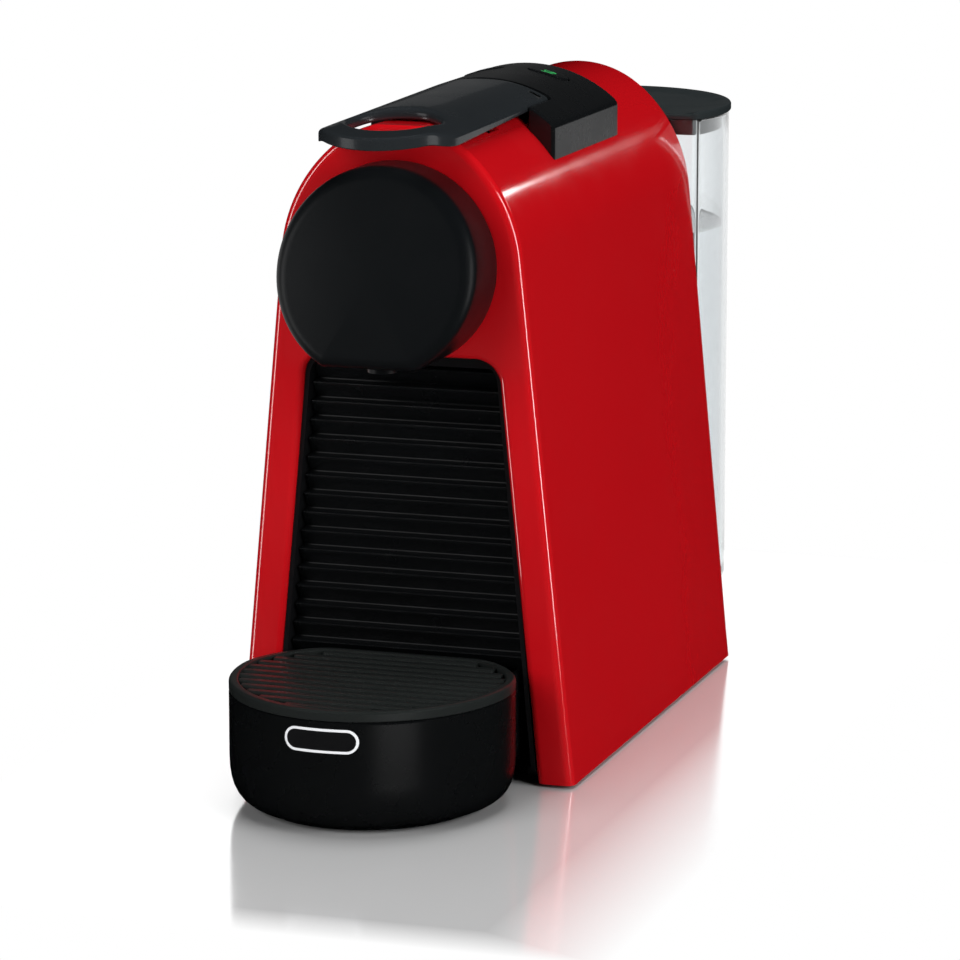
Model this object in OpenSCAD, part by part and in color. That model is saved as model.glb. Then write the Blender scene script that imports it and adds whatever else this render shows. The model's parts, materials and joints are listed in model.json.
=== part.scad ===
// Capsule espresso machine: an arched shell around a lever-operated brew unit, with a sliding
// drip module in front and a lift-off water tank behind. Millimetres, front towards -Y, up is +Z,
// origin on the table under the middle of the footprint.

/* [Shell] */
// Height of the shell at its crown
shell_h = 200; // [196:1:204]
// Half the width of the shell at the table
foot_half_w = 53.9; // [52:0.1:56]
// Half the width of the arch at its shoulders
shoulder_half_w = 38.3; // [37.5:0.1:39]
// Radius of the crown of the arch
crown_r = 33; // [32:0.5:34]
// Radius of each shoulder of the arch
shoulder_r = 47.8; // [46:0.2:50]
// Depth of the shell at the table
shell_d = 178.6; // [176:0.2:182]
// How far the front face leans forward, in degrees
front_lean = 1.1; // [0.8:0.1:1.3]
// How far the back face leans backward, in degrees
back_lean = 0.6; // [0:0.1:0.8]
// Wall thickness of the shell
wall = 2.6; // [2.2:0.1:3]

/* [Bay] */
// Height of the opening that takes the drip module
bay_h = 130; // [129:0.5:131]
// Half the width of the opening at the table
bay_foot_half_w = 42.5; // [42:0.1:43]
// Half the width of the opening near its top
bay_top_half_w = 31.2; // [31:0.1:32]
// Corner radius of the opening
bay_corner_r = 8; // [6:0.5:9]

/* [Brew head] */
// Radius of the round brew head
head_r = 30.5; // [30:0.1:31]
// Height of the centre of the brew head
head_z = 158; // [157:0.5:159]
// How far the middle of the head stands in front of the shell
head_reach = 24.2; // [22:0.2:26]
// How far the face of the head leans back, in degrees
head_tilt = 13; // [8:0.5:15]

/* [Lever and console] */
// Radius of the arched top of the lever and console
top_r = 44; // [43:0.5:46]
// Height of the highest line of the lever and console
top_z = 204.9; // [204:0.1:206]
// Half the width of the lever
lever_half_w = 21.3; // [20:0.1:22]
// Thickness of the lever's plate
lever_t = 3; // [2.6:0.1:3.4]
// How far the lever's edges fall towards the nose, in degrees
lever_fall = 0.9; // [0.5:0.1:1.2]
// Half the width of the console
console_half_w = 29.9; // [29:0.1:31]
// Radius of the crank that moves the brew carriage
crank_r = 12; // [11:0.5:12]

/* [Drip module] */
// Half the width of the round drip tray
tray_half_w = 42.8; // [42.5:0.1:44]
// Half the depth of the round drip tray
tray_half_d = 46.7; // [46:0.1:48]
// Height of the drip tray with its grid
tray_h = 38; // [37:0.5:39]
// Height of the grid's own rim
grid_rim_h = 3.2; // [3:0.1:4]
// Pitch of the ribs of the cup grid
grid_pitch = 5.8; // [5:0.1:6.5]
// Pitch of the louvres of the front panel
louvre_pitch = 5.75; // [5.5:0.05:6]

/* [Water tank] */
// Half the width of the tank
tank_half_w = 43.5; // [42:0.1:44]
// Depth of the tank
tank_d = 71; // [69:0.5:72]
// Height of the tank's floor
tank_z = 20; // [18:1:24]
// Height of the top of the lid
lid_z = 184; // [182:0.5:185]
// Wall thickness of the tank
tank_wall = 1.8; // [1.6:0.1:2.4]

/* [Hidden] */
$fn = 64;

eps = 0.01;
gap = 0.3;
front_y = -90;
back_y = front_y + shell_d;
slab_x = 140;

// Arch outline: crown arc, shoulder arcs, and sides that lean out to the table.
shoulder_x = shoulder_half_w - shoulder_r;
joint_angle = acos(-shoulder_x / (shoulder_r - crown_r));
shoulder_z = shell_h - crown_r - (shoulder_r - crown_r) * sin(joint_angle);
foot_dx = foot_half_w - shoulder_x;
foot_reach = sqrt(foot_dx * foot_dx + shoulder_z * shoulder_z);
side_lean = atan2(-shoulder_z, foot_dx) + acos(shoulder_r / foot_reach);
arc_steps = 12;

function arch_half(inset) = concat(
  [[foot_half_w - inset / cos(side_lean), 0]],
  [for (i = [0:arc_steps]) let (a = side_lean + (joint_angle - side_lean) * i / arc_steps)
    [shoulder_x + (shoulder_r - inset) * cos(a), shoulder_z + (shoulder_r - inset) * sin(a)]],
  [for (i = [1:arc_steps]) let (a = joint_angle + (90 - joint_angle) * i / arc_steps)
    [(crown_r - inset) * cos(a), shell_h - crown_r + (crown_r - inset) * sin(a)]]
);
function mirrored(points) = concat(
  points,
  [for (i = [len(points) - 1:-1:0]) if (points[i][0] > eps) [-points[i][0], points[i][1]]]
);
function front_face_y(z) = front_y - z * tan(front_lean);
function back_face_y(z) = back_y + z * tan(back_lean);

// Shapes that repeat.
module along_y(y0, y1) {
  translate([0, y1, 0]) rotate([90, 0, 0]) linear_extrude(y1 - y0) children();
}
module along_x(x0, x1) {
  translate([x0, 0, 0]) rotate([90, 0, 90]) linear_extrude(x1 - x0) children();
}
module box_between(low, high) {
  translate(low) cube(high - low);
}
module both_sides() {
  children();
  mirror([1, 0, 0]) children();
}
module rod_y(x, z, y0, y1, r) {
  translate([x, y1, z]) rotate([90, 0, 0]) cylinder(h = y1 - y0, r = r);
}
module rod_x(y, z, x0, x1, r) {
  translate([x0, y, z]) rotate([0, 90, 0]) cylinder(h = x1 - x0, r = r);
}
module arch_prism(inset, y0, y1) {
  along_y(y0, y1) polygon(mirrored(arch_half(inset)));
}
module side_slab(front_in, back_in, z0, z1) {
  along_x(-slab_x / 2, slab_x / 2) polygon([
    [front_face_y(z0) + front_in, z0], [back_face_y(z0) - back_in, z0],
    [back_face_y(z1) - back_in, z1], [front_face_y(z1) + front_in, z1]]);
}
module bay_outline(inset) {
  r = bay_corner_r - inset;
  cx = bay_top_half_w - bay_corner_r;
  cz = bay_h - bay_corner_r;
  union() {
    polygon([[-bay_foot_half_w + inset, -1], [bay_foot_half_w - inset, -1],
      [bay_top_half_w - inset, cz], [inset - bay_top_half_w, cz]]);
    for (s = [-1, 1]) translate([s * cx, cz]) circle(r);
    translate([-cx, cz - 1]) square([2 * cx, r + 1]);
  }
}
module top_disc(r) {
  translate([0, top_z - top_r]) circle(r, $fn = 120);
}

// Shell: one moulded arch, open at the bottom and back, with a bay, a head hole and a top slot.
head_hole_r = 23.5;
head_screw_points = [[-22.6, 172], [22.6, 172], [-23.4, 145.5], [23.4, 145.5]];
bridge_z = shell_h - 0.8;
slot_half_w = 19.5;
slot_body_half_w = 15.5;
slot_flange_half_w = 18.7;
slot_y0 = front_y + 8;
slot_y1 = front_y + 90;
link_y0 = front_y + 60;
module shell() {
  color([0.72, 0.07, 0.09]) difference() {
    intersection() {
      arch_prism(0, front_y - 10, back_y + 10);
      side_slab(0, 0, 1, shell_h + 1);
    }
    intersection() {
      translate([0, 0, -2]) arch_prism(wall, front_y - 10, back_y + 20);
      side_slab(wall, -5, -3, shell_h);
    }
    along_y(front_y - 10, front_y + 5) bay_outline(0);
    rod_y(0, head_z, front_y - 20, front_y + 5, head_hole_r);
    for (p = head_screw_points) rod_y(p[0], p[1], front_y - 20, front_y + 5, 1.7);
    box_between([-slot_body_half_w, slot_y0, 180], [slot_body_half_w, slot_y1, shell_h + 5]);
    box_between([-slot_flange_half_w, front_y + 25, 180], [slot_flange_half_w, front_y + 36, shell_h + 5]);
    box_between([-slot_half_w, link_y0, 180], [slot_half_w, slot_y1, shell_h + 5]);
    box_between([-slot_half_w, front_y - 10, bridge_z], [slot_half_w, slot_y0 + 1, shell_h + 5]);
  }
  color([0.72, 0.07, 0.09]) cover_bosses();
}
module cover_bosses() {
  difference() {
    intersection() {
      arch_prism(wall - 0.5, back_y - 20, back_y);
      for (p = screw_points) box_between([min(p[0] - 4, p[0] * 2), cover_y - 12, p[1] - 4],
        [max(p[0] + 4, p[0] * 2), cover_y - gap, p[1] + 4]);
    }
    for (p = screw_points) rod_y(p[0], p[1], cover_y - 20, cover_y + 5, 1.55);
  }
}

// Rear cover: closes the back of the shell and carries the tank dock and the cord gland.
cover_t = 2.4;
cover_y = back_y - 3;
gland_x = -45;
gland_z = 14;
gland_r = 3.9;
screw_points = [[-31, 150], [31, 150], [-40, 40], [40, 40]];
pipe_x = 18;
pipe_z = 12;
pipe_r = 2.6;
module rear_cover() {
  color([0.06, 0.06, 0.065]) difference() {
    intersection() {
      translate([0, 0, -2]) arch_prism(wall + gap, cover_y, cover_y + cover_t);
      box_between([-60, cover_y - 1, 5], [60, cover_y + 5, shell_h]);
    }
    rod_y(gland_x, gland_z, cover_y - 1, cover_y + 5, gland_r);
    rod_y(pipe_x, pipe_z, cover_y - 1, cover_y + 5, pipe_r + 0.4);
    for (p = screw_points) rod_y(p[0], p[1], cover_y - 1, cover_y + 5, 1.6);
  }
}

// Base plate: the floor under the shell, with two runners beside the bay, on four rubber feet.
base_t = 2.5;
base_z = 2.2;
base_front_y = front_y + 5;
bay_depth = 66;
runner_x = 38;
foot_r = 5.5;
foot_x = 43.6;
foot_points = [for (x = [-foot_x, foot_x]) for (y = [front_y + 14, back_y - 14]) [x, y]];
dock_foot_points = [[-26, back_y + 52], [26, back_y + 52]];
module base_plate() {
  color([0.05, 0.05, 0.055]) difference() {
    intersection() {
      translate([0, 0, -2]) arch_prism(wall, base_front_y, cover_y - 1);
      box_between([-60, base_front_y, base_z], [60, cover_y - 1, base_z + base_t]);
    }
    box_between([-runner_x, front_y, 0], [runner_x, front_y + bay_depth, 10]);
    for (p = foot_points) translate([p[0], p[1], 0]) cylinder(h = 10, r = 2.5);
  }
}
module feet() {
  color([0.09, 0.09, 0.09]) for (p = concat(foot_points, dock_foot_points)) translate([p[0], p[1], 0]) {
    cylinder(h = base_z, r = foot_r);
    cylinder(h = base_z + base_t, r = 2.45);
  }
}

// Bay liner: black sleeve around the module, with a lintel above the front panel.
liner_t = 1.4;
liner_y1 = front_y + 58;
lintel_z = 127;
module bay_liner() {
  color([0.04, 0.04, 0.045]) difference() {
    along_y(front_y + 0.4, liner_y1) bay_outline(0);
    along_y(front_y - 1, liner_y1 + 1) difference() {
      bay_outline(liner_t);
      translate([-50, lintel_z]) square([100, 10]);
    }
    box_between([-60, front_y - 5, -5], [60, liner_y1 + 5, base_z + base_t]);
    box_between([-22, front_y + 8, lintel_z - 5], [22, front_y + 44, bay_h + 5]);
  }
}

// Chassis: two upright plates on the rear cover, each with a shelf under the heated block.
chassis_x = 24;
chassis_t = 2.4;
chassis_y0 = front_y + 4;
chassis_y1 = cover_y;
shelf_x = 12;
shelf_z = 141;
chassis_top = 180;
module chassis_plate() {
  difference() {
    box_between([chassis_x, chassis_y0, bay_h + 2], [chassis_x + chassis_t, chassis_y1, chassis_top]);
    box_between([chassis_x - 1, front_y + 104, bay_h + 14], [chassis_x + 5, back_y - 22, chassis_top - 12]);
  }
  box_between([shelf_x, block_y1, shelf_z - chassis_t], [chassis_x, block_y1 + 46, shelf_z]);
}
module chassis_left() {
  color([0.55, 0.56, 0.58]) mirror([1, 0, 0]) chassis_plate();
}
module chassis_right() {
  color([0.55, 0.56, 0.58]) chassis_plate();
}

// Brew head: a round cap whose face leans back, flat underneath, hollow behind.
head_flat_z = 130.4;
head_wall = 2.4;
nozzle_y = front_y - 18;
nozzle_r = 4.4;
module head_front_cut() {
  along_x(-60, 60) polygon([
    [front_face_y(100) - gap / 3, 100], [front_face_y(210) - gap / 3, 210], [0, 210], [0, 100]]);
}
module head_shape(inset, depth_in) {
  difference() {
    intersection() {
      rod_y(0, head_z, front_y - 60, front_y + 10, head_r - inset);
      box_between([-60, -200, head_flat_z + inset], [60, 0, 220]);
      translate([0, front_face_y(head_z) - head_reach + depth_in, head_z]) rotate([-head_tilt, 0, 0])
        box_between([-60, 0, -60], [60, 90, 60]);
    }
    if (inset == 0) head_front_cut();
  }
}
module head_cover() {
  color([0.07, 0.075, 0.08]) difference() {
    union() {
      difference() {
        head_shape(0, 0);
        head_shape(head_wall, head_wall);
      }
      intersection() {
        head_shape(0, 0);
        for (p = head_screw_points) rod_y(p[0], p[1], front_y - 14, front_y, 2.6);
      }
    }
    for (p = head_screw_points) rod_y(p[0], p[1], front_y - 9.2, front_y + 1, 1.52);
    translate([0, nozzle_y, head_flat_z - 1]) cylinder(h = 5, r = nozzle_r + 0.05);
  }
}
module outlet_nozzle() {
  color([0.05, 0.05, 0.055]) difference() {
    union() {
      translate([0, nozzle_y, 127.8]) cylinder(h = 7, r = nozzle_r);
      translate([0, nozzle_y, head_flat_z + head_wall]) cylinder(h = 2, r = nozzle_r + 3);
    }
    translate([0, nozzle_y, 120]) cylinder(h = 30, r = 2.6);
  }
}
module head_screws() {
  color([0.7, 0.7, 0.72]) for (p = head_screw_points) {
    rod_y(p[0], p[1], front_y - 9, front_y + 0.2, 1.5);
    rod_y(p[0], p[1], front_y + 0.1, front_y + 1.9, 2.8);
  }
}

// Console: an arched black saddle over the crown, with a hinge well and two button wells.
console_y0 = front_y + 55.5;
console_y1 = front_y + 125;
lever_y1 = front_y + 77.5;
hinge_y = lever_y1 - 4.4;
hinge_z = 200.5;
relief_r = 6.4;
heel_r = 6.1;
pin_r = 1.1;
lug_r = 1.9;
lug_x0 = 6.8;
lug_x1 = 11.6;
tongue_z0 = 190.6;
tongue_z1 = 193.4;
button_x = 10.9;
button_y = front_y + 110;
button_half_w = 6.4;
button_half_d = 3.6;
button_skin = 2.2;
well_play = 0.3;
module button_column(grow) {
  r = button_half_d + grow;
  straight = button_half_w - button_half_d;
  translate([button_x, button_y, 190]) linear_extrude(20) {
    for (s = [-1, 1]) translate([s * straight, 0]) circle(r);
    square([2 * straight, 2 * r], center = true);
  }
}
module hinge_lug() {
  difference() {
    union() {
      rod_x(hinge_y, hinge_z, lug_x0, lug_x1, lug_r);
      box_between([lug_x0, hinge_y - 3.4, tongue_z0], [lug_x1, hinge_y - 0.7, hinge_z - 1]);
    }
    rod_x(hinge_y, hinge_z, lug_x0 - 1, lug_x1 + 1, pin_r + 0.05);
  }
}
module console() {
  color([0.05, 0.05, 0.055]) {
    difference() {
      intersection() {
        along_y(console_y0, console_y1) top_disc(top_r);
        box_between([-console_half_w, console_y0, 180], [console_half_w, console_y1, 210]);
      }
      arch_prism(0, console_y0 - 1, console_y1 + 1);
      box_between([-lever_half_w - gap, console_y0 - 1, 180], [lever_half_w + gap, hinge_y, 210]);
      rod_x(hinge_y, hinge_z, -lever_half_w - gap, lever_half_w + gap, relief_r);
      box_between([-17, hinge_y - 1, 180], [17, slot_y1, 199.4]);
      box_between([-slot_half_w, hinge_y - 1, 180], [slot_half_w, slot_y1, 196.4]);
      both_sides() button_column(well_play);
    }
    box_between([-12, hinge_y - 3.4, tongue_z0], [12, slot_y1 - gap, tongue_z1]);
    box_between([-12, slot_y1 - 4, tongue_z0], [12, slot_y1 - gap, 202]);
    both_sides() hinge_lug();
  }
}
module lever_pin() {
  color([0.75, 0.76, 0.78]) rod_x(hinge_y, hinge_z, -lug_x1, lug_x1, pin_r);
}

// Buttons: oval caps that follow the console's curve, each on a rubber dome.
module button() {
  intersection() {
    button_column(0);
    along_y(button_y - 10, button_y + 10) difference() {
      top_disc(top_r + 0.35);
      top_disc(top_r - button_skin);
    }
  }
}
dome_z0 = 199.05;
dome_z1 = 200.65;
module dome() {
  translate([button_x, button_y, dome_z0]) rotate_extrude() polygon([
    [1.6, 0.1], [2.6, 0], [1.9, dome_z1 - dome_z0], [0, dome_z1 - dome_z0],
    [0, dome_z1 - dome_z0 - 0.5], [1.4, dome_z1 - dome_z0 - 0.6]]);
}
module button_left() {
  color([0.09, 0.09, 0.095]) mirror([1, 0, 0]) button();
}
module button_right() {
  color([0.09, 0.09, 0.095]) button();
}
module dome_left() {
  color([0.8, 0.8, 0.78]) mirror([1, 0, 0]) dome();
}
module dome_right() {
  color([0.8, 0.8, 0.78]) dome();
}

// Lever: an arched plate over the crown that droops towards a round nose with a finger hole.
nose_y = front_y - 31;
droop_y = front_y + 45;
droop_r = 458;
hole_y = front_y - 7;
finger_hole_r = 14;
module tilted() {
  translate([0, lever_y1, top_z]) rotate([lever_fall, 0, 0]) translate([0, -lever_y1, -top_z]) children();
}
module lever_arch(depth) {
  intersection() {
    tilted() along_y(nose_y - 5, lever_y1 + 5) top_disc(top_r - depth);
    along_x(-lever_half_w - 1, lever_half_w + 1) {
      translate([droop_y, top_z - depth - droop_r]) circle(droop_r, $fn = 720);
      translate([droop_y, hinge_z - 20]) square([50, top_z - depth - hinge_z + 20]);
    }
  }
}
module lever_plan() {
  translate([0, nose_y + lever_half_w]) circle(lever_half_w);
  translate([-lever_half_w, nose_y + lever_half_w])
    square([2 * lever_half_w, lever_y1 - nose_y - lever_half_w]);
}
module lever() {
  color([0.06, 0.062, 0.068]) difference() {
    union() {
      intersection() {
        translate([0, 0, hinge_z - 12]) linear_extrude(24) lever_plan();
        difference() {
          lever_arch(0);
          lever_arch(lever_t);
        }
        union() {
          box_between([-lever_half_w - 1, nose_y - 1, hinge_z - 12],
            [lever_half_w + 1, hinge_y, hinge_z + 12]);
          rod_x(hinge_y, hinge_z, -lever_half_w - 1, lever_half_w + 1, heel_r);
        }
      }
      rod_x(hinge_y, hinge_z, -lug_x0 + gap, lug_x0 - gap, lug_r + 0.5);
    }
    translate([0, hole_y, hinge_z - 20]) cylinder(h = 40, r = finger_hole_r);
    rod_x(hinge_y, hinge_z, -20, 20, pin_r + 0.05);
    both_sides() rod_x(hinge_y, hinge_z, lug_x0 - gap, lug_x1 + gap, lug_r + gap);
  }
}

// Crank arms under the lever, each with a pin that rides in the carriage's fork.
arm_x0 = 12.6;
arm_x1 = 15;
fork_x0 = 15.4;
fork_x1 = 18;
crank_pin_r = 1.5;
crank_y = hinge_y + crank_r * cos(45);
crank_z = hinge_z - crank_r * sin(45);
module lever_crank() {
  color([0.45, 0.46, 0.48]) both_sides() {
    intersection() {
      along_x(arm_x0, arm_x1) {
        translate([crank_y, crank_z]) circle(2.2);
        polygon([[hinge_y - 5, hinge_z + 2], [hinge_y - 5, hinge_z - 3.5], [crank_y - 1.6, crank_z - 1.5],
          [crank_y + 1.5, crank_z + 1.6], [hinge_y + 1.6, hinge_z - 1.5], [hinge_y + 1, hinge_z + 2]]);
      }
      tilted() along_y(hinge_y - 20, hinge_y + 20) top_disc(top_r - lever_t);
    }
    rod_x(crank_y, crank_z, arm_x1 - 1, fork_x1 + 0.4, crank_pin_r);
  }
}

// Brew carriage: a disc that closes the brew chamber, two side bars and two forks.
carriage_y = front_y + 2;
carriage_r = 20.5;
carriage_t = 6;
bar_x0 = 20;
bar_x1 = 22.4;
bar_z0 = head_z - 6;
bar_z1 = head_z + 6;
step_z0 = 174;
fork_half_d = 4.1;
fork_play = 0.6;
module brew_carriage() {
  color([0.2, 0.2, 0.21]) {
    difference() {
      union() {
        rod_y(0, head_z, carriage_y, carriage_y + carriage_t, carriage_r);
        box_between([-bar_x1, carriage_y, bar_z0], [bar_x1, carriage_y + carriage_t, bar_z1]);
      }
      rod_y(0, head_z - 12, carriage_y - 1, carriage_y + carriage_t + 1, 2.5);
    }
    both_sides() difference() {
      union() {
        box_between([bar_x0, carriage_y, bar_z0], [bar_x1, crank_y + fork_half_d, bar_z1]);
        box_between([bar_x0, crank_y - fork_half_d, bar_z0], [bar_x1, crank_y + fork_half_d, 184]);
        box_between([fork_x0, crank_y - fork_half_d, step_z0], [bar_x1, crank_y + fork_half_d, 184]);
        box_between([fork_x0, crank_y - fork_half_d, 183], [fork_x1, crank_y + fork_half_d, 195]);
      }
      box_between([fork_x0 - 1, crank_y - crank_pin_r - fork_play, 186.4],
        [fork_x1 + 1, crank_y + crank_pin_r + fork_play, 200]);
    }
  }
}
module piercing_plate() {
  plate_y = carriage_y + carriage_t;
  color([0.8, 0.8, 0.82]) {
    rod_y(0, head_z, plate_y, plate_y + 1, 15);
    for (x = [-8:4:8]) for (z = [-8:4:8]) if (x * x + z * z < 100)
      translate([x, plate_y + 1 - eps, head_z + z]) rotate([-90, 45, 0])
        cylinder(h = 1.4, r1 = 1.5, r2 = 0.3, $fn = 4);
  }
}
block_y0 = front_y + 36;
block_y1 = front_y + 54;
module injection_block() {
  color([0.16, 0.16, 0.17]) difference() {
    rod_y(0, head_z, block_y0, block_y1, 19);
    rod_y(0, head_z, block_y0 - 1, block_y1 - 4, 14.5);
    rod_y(0, head_z, block_y0, block_y1 + 1, 1.5);
  }
}
module brew_seal() {
  color([0.35, 0.2, 0.16]) translate([0, block_y0 - 1.4, head_z]) rotate([-90, 0, 0]) rotate_extrude()
    translate([14.6, 0]) square([2.8, 1.4]);
}
chute_z0 = bay_h + 0.6;
module capsule_chute() {
  color([0.12, 0.12, 0.13]) difference() {
    box_between([-chassis_x, front_y + 8, chute_z0], [chassis_x, front_y + 35, chute_z0 + 5]);
    box_between([-19.8, front_y + 9.6, chute_z0 - 1], [19.8, front_y + 33.4, chute_z0 + 6]);
  }
}

// Water path: pump, flow meter, hoses and the heated block.
module thermoblock() {
  color([0.72, 0.73, 0.75]) {
    box_between([-17, block_y1, 141], [17, block_y1 + 46, 171]);
    for (i = [0:5]) box_between([-19, block_y1 + 3 + i * 7.5, 143], [19, block_y1 + 6 + i * 7.5, 169]);
    rod_y(0, 150, block_y1 + 46, block_y1 + 52, 3);
  }
}
module thermal_cutout() {
  color([0.85, 0.82, 0.75]) {
    translate([0, block_y1 + 23, 171]) cylinder(h = 3, r = 6);
    translate([-2, block_y1 + 23 - 8, 171]) cube([4, 16, 1]);
  }
}
pump_z = 92;
pump_y0 = front_y + 72;
pump_y1 = front_y + 132;
plunger_r = 4;
module pump_body() {
  color([0.25, 0.26, 0.28]) difference() {
    union() {
      rod_y(0, pump_z, pump_y0, pump_y1, 15);
      box_between([-19, pump_y0 + 14, pump_z - 19], [19, pump_y1 - 16, pump_z + 19]);
      rod_y(0, pump_z, pump_y0 - 8, pump_y0, 4);
      rod_y(0, pump_z, pump_y1, pump_y1 + 8, 4);
    }
    rod_y(0, pump_z, pump_y0 + 8, pump_y1 - 6, plunger_r + 0.05);
  }
}
module pump_plunger() {
  color([0.8, 0.8, 0.82]) rod_y(0, pump_z, pump_y0 + 12, pump_y0 + 42, plunger_r);
}
module pump_spring() {
  coil_r = 3.4;
  coils = 6;
  coil_pitch = 1.4;
  color([0.6, 0.6, 0.62]) translate([0, pump_y1 - 6 - coils * coil_pitch, pump_z]) rotate([-90, 0, 0])
    rotate_extrude() polygon(concat(
      [for (i = [0:coils]) [coil_r - 0.7, i * coil_pitch]],
      [for (i = [coils:-1:1]) each [[coil_r - 0.1, i * coil_pitch], [coil_r + 0.4, (i - 0.5) * coil_pitch]]],
      [[coil_r - 0.1, 0]]));
}
module pump_mounts() {
  color([0.08, 0.08, 0.08]) for (y = [pump_y0 + 2, pump_y1 - 10]) difference() {
    box_between([-20, y, base_z + base_t], [20, y + 6, pump_z]);
    rod_y(0, pump_z, y - 1, y + 7, 15.02);
  }
}
meter_y = front_y + 150;
module flow_meter() {
  color([0.9, 0.9, 0.88]) {
    translate([pipe_x, meter_y, base_z + base_t]) cylinder(h = 14, r = 10);
    rod_y(pipe_x, pipe_z, meter_y - 14, tank_y0 + 5, pipe_r);
  }
}
module control_board() {
  color([0.08, 0.3, 0.14]) {
    box_between([-36, front_y + 84, 60], [-34.4, front_y + 150, 122]);
    for (y = [front_y + 86, front_y + 142]) box_between([-36, y, base_z + base_t], [-34.4, y + 6, 60 + eps]);
    for (i = [0:3]) box_between([-34.4 - eps, front_y + 90 + i * 14, 70 + 9 * (i % 2)],
      [-28, front_y + 99 + i * 14, 82 + 9 * (i % 2)]);
  }
}
module tube_path(points, r) {
  for (i = [0:len(points) - 2]) {
    step = points[i + 1] - points[i];
    length = norm(step);
    translate(points[i]) rotate([0, acos(step[2] / length), atan2(step[1], step[0])])
      cylinder(h = length, r = r);
  }
  for (i = [1:len(points) - 2]) translate(points[i]) sphere(r * 1.08);
}
hose_r = 2.5;
module suction_hose() {
  color([0.75, 0.77, 0.8]) tube_path([
    [pipe_x, meter_y - 14, pipe_z], [pipe_x, meter_y - 18, pipe_z], [pipe_x, meter_y - 18, 40],
    [0, pump_y1 + 12, 64], [0, pump_y1 + 12, pump_z], [0, pump_y1 + 8, pump_z]], hose_r);
}
module pressure_hose() {
  color([0.85, 0.85, 0.85]) tube_path([
    [0, pump_y0 - 8, pump_z], [0, pump_y0 - 11, pump_z], [0, pump_y0 - 11, 126],
    [0, block_y1 + 56, 126], [0, block_y1 + 56, 150], [0, block_y1 + 52, 150]], hose_r);
}

// Tank dock: a foot behind the shell with a socket and a probe for the tank's valve.
tank_y0 = back_y + 3;
tank_y1 = tank_y0 + tank_d;
tank_round_d = 51;
spout_y = tank_y0 + 26;
spout_r = 7;
socket_z = 9;
valve_z0 = 14;
probe_top = valve_z0 - gap;
module tank_outline(inset) {
  steps = 28;
  half_w = tank_half_w - inset;
  round_d = tank_round_d - inset;
  centre_y = tank_y1 - tank_round_d;
  cut = asin((centre_y - tank_y0 - inset) / round_d);
  polygon([for (i = [0:steps]) let (a = -cut + (180 + 2 * cut) * i / steps)
    [half_w * cos(a), centre_y + round_d * sin(a)]]);
}
module tank_dock() {
  color([0.05, 0.05, 0.055]) difference() {
    union() {
      translate([0, 0, base_z]) linear_extrude(tank_z - 0.1 - base_z) tank_outline(1.2);
      box_between([-30, cover_y + cover_t, base_z + 3], [30, tank_y0 + 2, base_z + 15]);
    }
    for (p = dock_foot_points) translate([p[0], p[1], 0]) cylinder(h = base_z + base_t, r = 2.5);
    translate([0, spout_y, socket_z]) cylinder(h = 20, r = spout_r + 1.2);
    rod_y(pipe_x, pipe_z, cover_y, tank_y0 + 5, pipe_r + 0.05);
    rod_y(pipe_x, pipe_z, tank_y0, spout_y, 1.5);
    rod_x(spout_y, pipe_z, 0, pipe_x, 1.5);
  }
  color([0.05, 0.05, 0.055]) translate([0, spout_y, socket_z - 1])
    cylinder(h = probe_top - socket_z + 1, r = 1.6);
}
module dock_seal() {
  color([0.5, 0.1, 0.08]) translate([0, spout_y, socket_z + 6]) rotate_extrude()
    translate([spout_r + 0.1, 0]) square([1.1, 2]);
}
module tank() {
  floor_t = 2.4;
  color([0.75, 0.82, 0.86, 0.4]) difference() {
    union() {
      translate([0, 0, tank_z]) linear_extrude(lid_z - 2.8 - tank_z) tank_outline(0);
      translate([0, spout_y, 15.6]) cylinder(h = tank_z - 15.5, r = spout_r);
    }
    translate([0, 0, tank_z + floor_t]) linear_extrude(200) tank_outline(tank_wall);
    translate([0, spout_y, 10]) cylinder(h = 20, r = 4.6);
  }
}
module tank_lid() {
  color([0.1, 0.11, 0.115]) {
    translate([0, 0, lid_z - 2.6]) linear_extrude(2.6) tank_outline(-0.6);
    translate([0, 0, lid_z - 8]) linear_extrude(5.5) difference() {
      tank_outline(tank_wall + 0.5);
      tank_outline(tank_wall + 2);
    }
  }
}
module tank_valve() {
  color([0.2, 0.4, 0.6]) translate([0, spout_y, 0]) {
    translate([0, 0, valve_z0]) cylinder(h = tank_z + 5 - valve_z0, r = 1.6);
    translate([0, 0, tank_z + 4.6]) cylinder(h = 2, r = 6.4);
    translate([0, 0, 16.4]) cylinder(h = 1.2, r = 4.2);
  }
}
module cord_gland() {
  color([0.05, 0.05, 0.05]) difference() {
    union() {
      rod_y(gland_x, gland_z, cover_y - 4, cover_y + cover_t + 1.6, gland_r - 0.05);
      rod_y(gland_x, gland_z, cover_y + cover_t, cover_y + cover_t + 1.6, gland_r + 0.7);
    }
    rod_y(gland_x, gland_z, cover_y - 5, cover_y + 8, 2.9);
  }
}
module cover_screws() {
  color([0.7, 0.7, 0.72]) for (p = screw_points) {
    rod_y(p[0], p[1], cover_y - 8, cover_y + cover_t + eps, 1.55);
    rod_y(p[0], p[1], cover_y + cover_t, cover_y + cover_t + 0.9, 2.8);
  }
}

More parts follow.
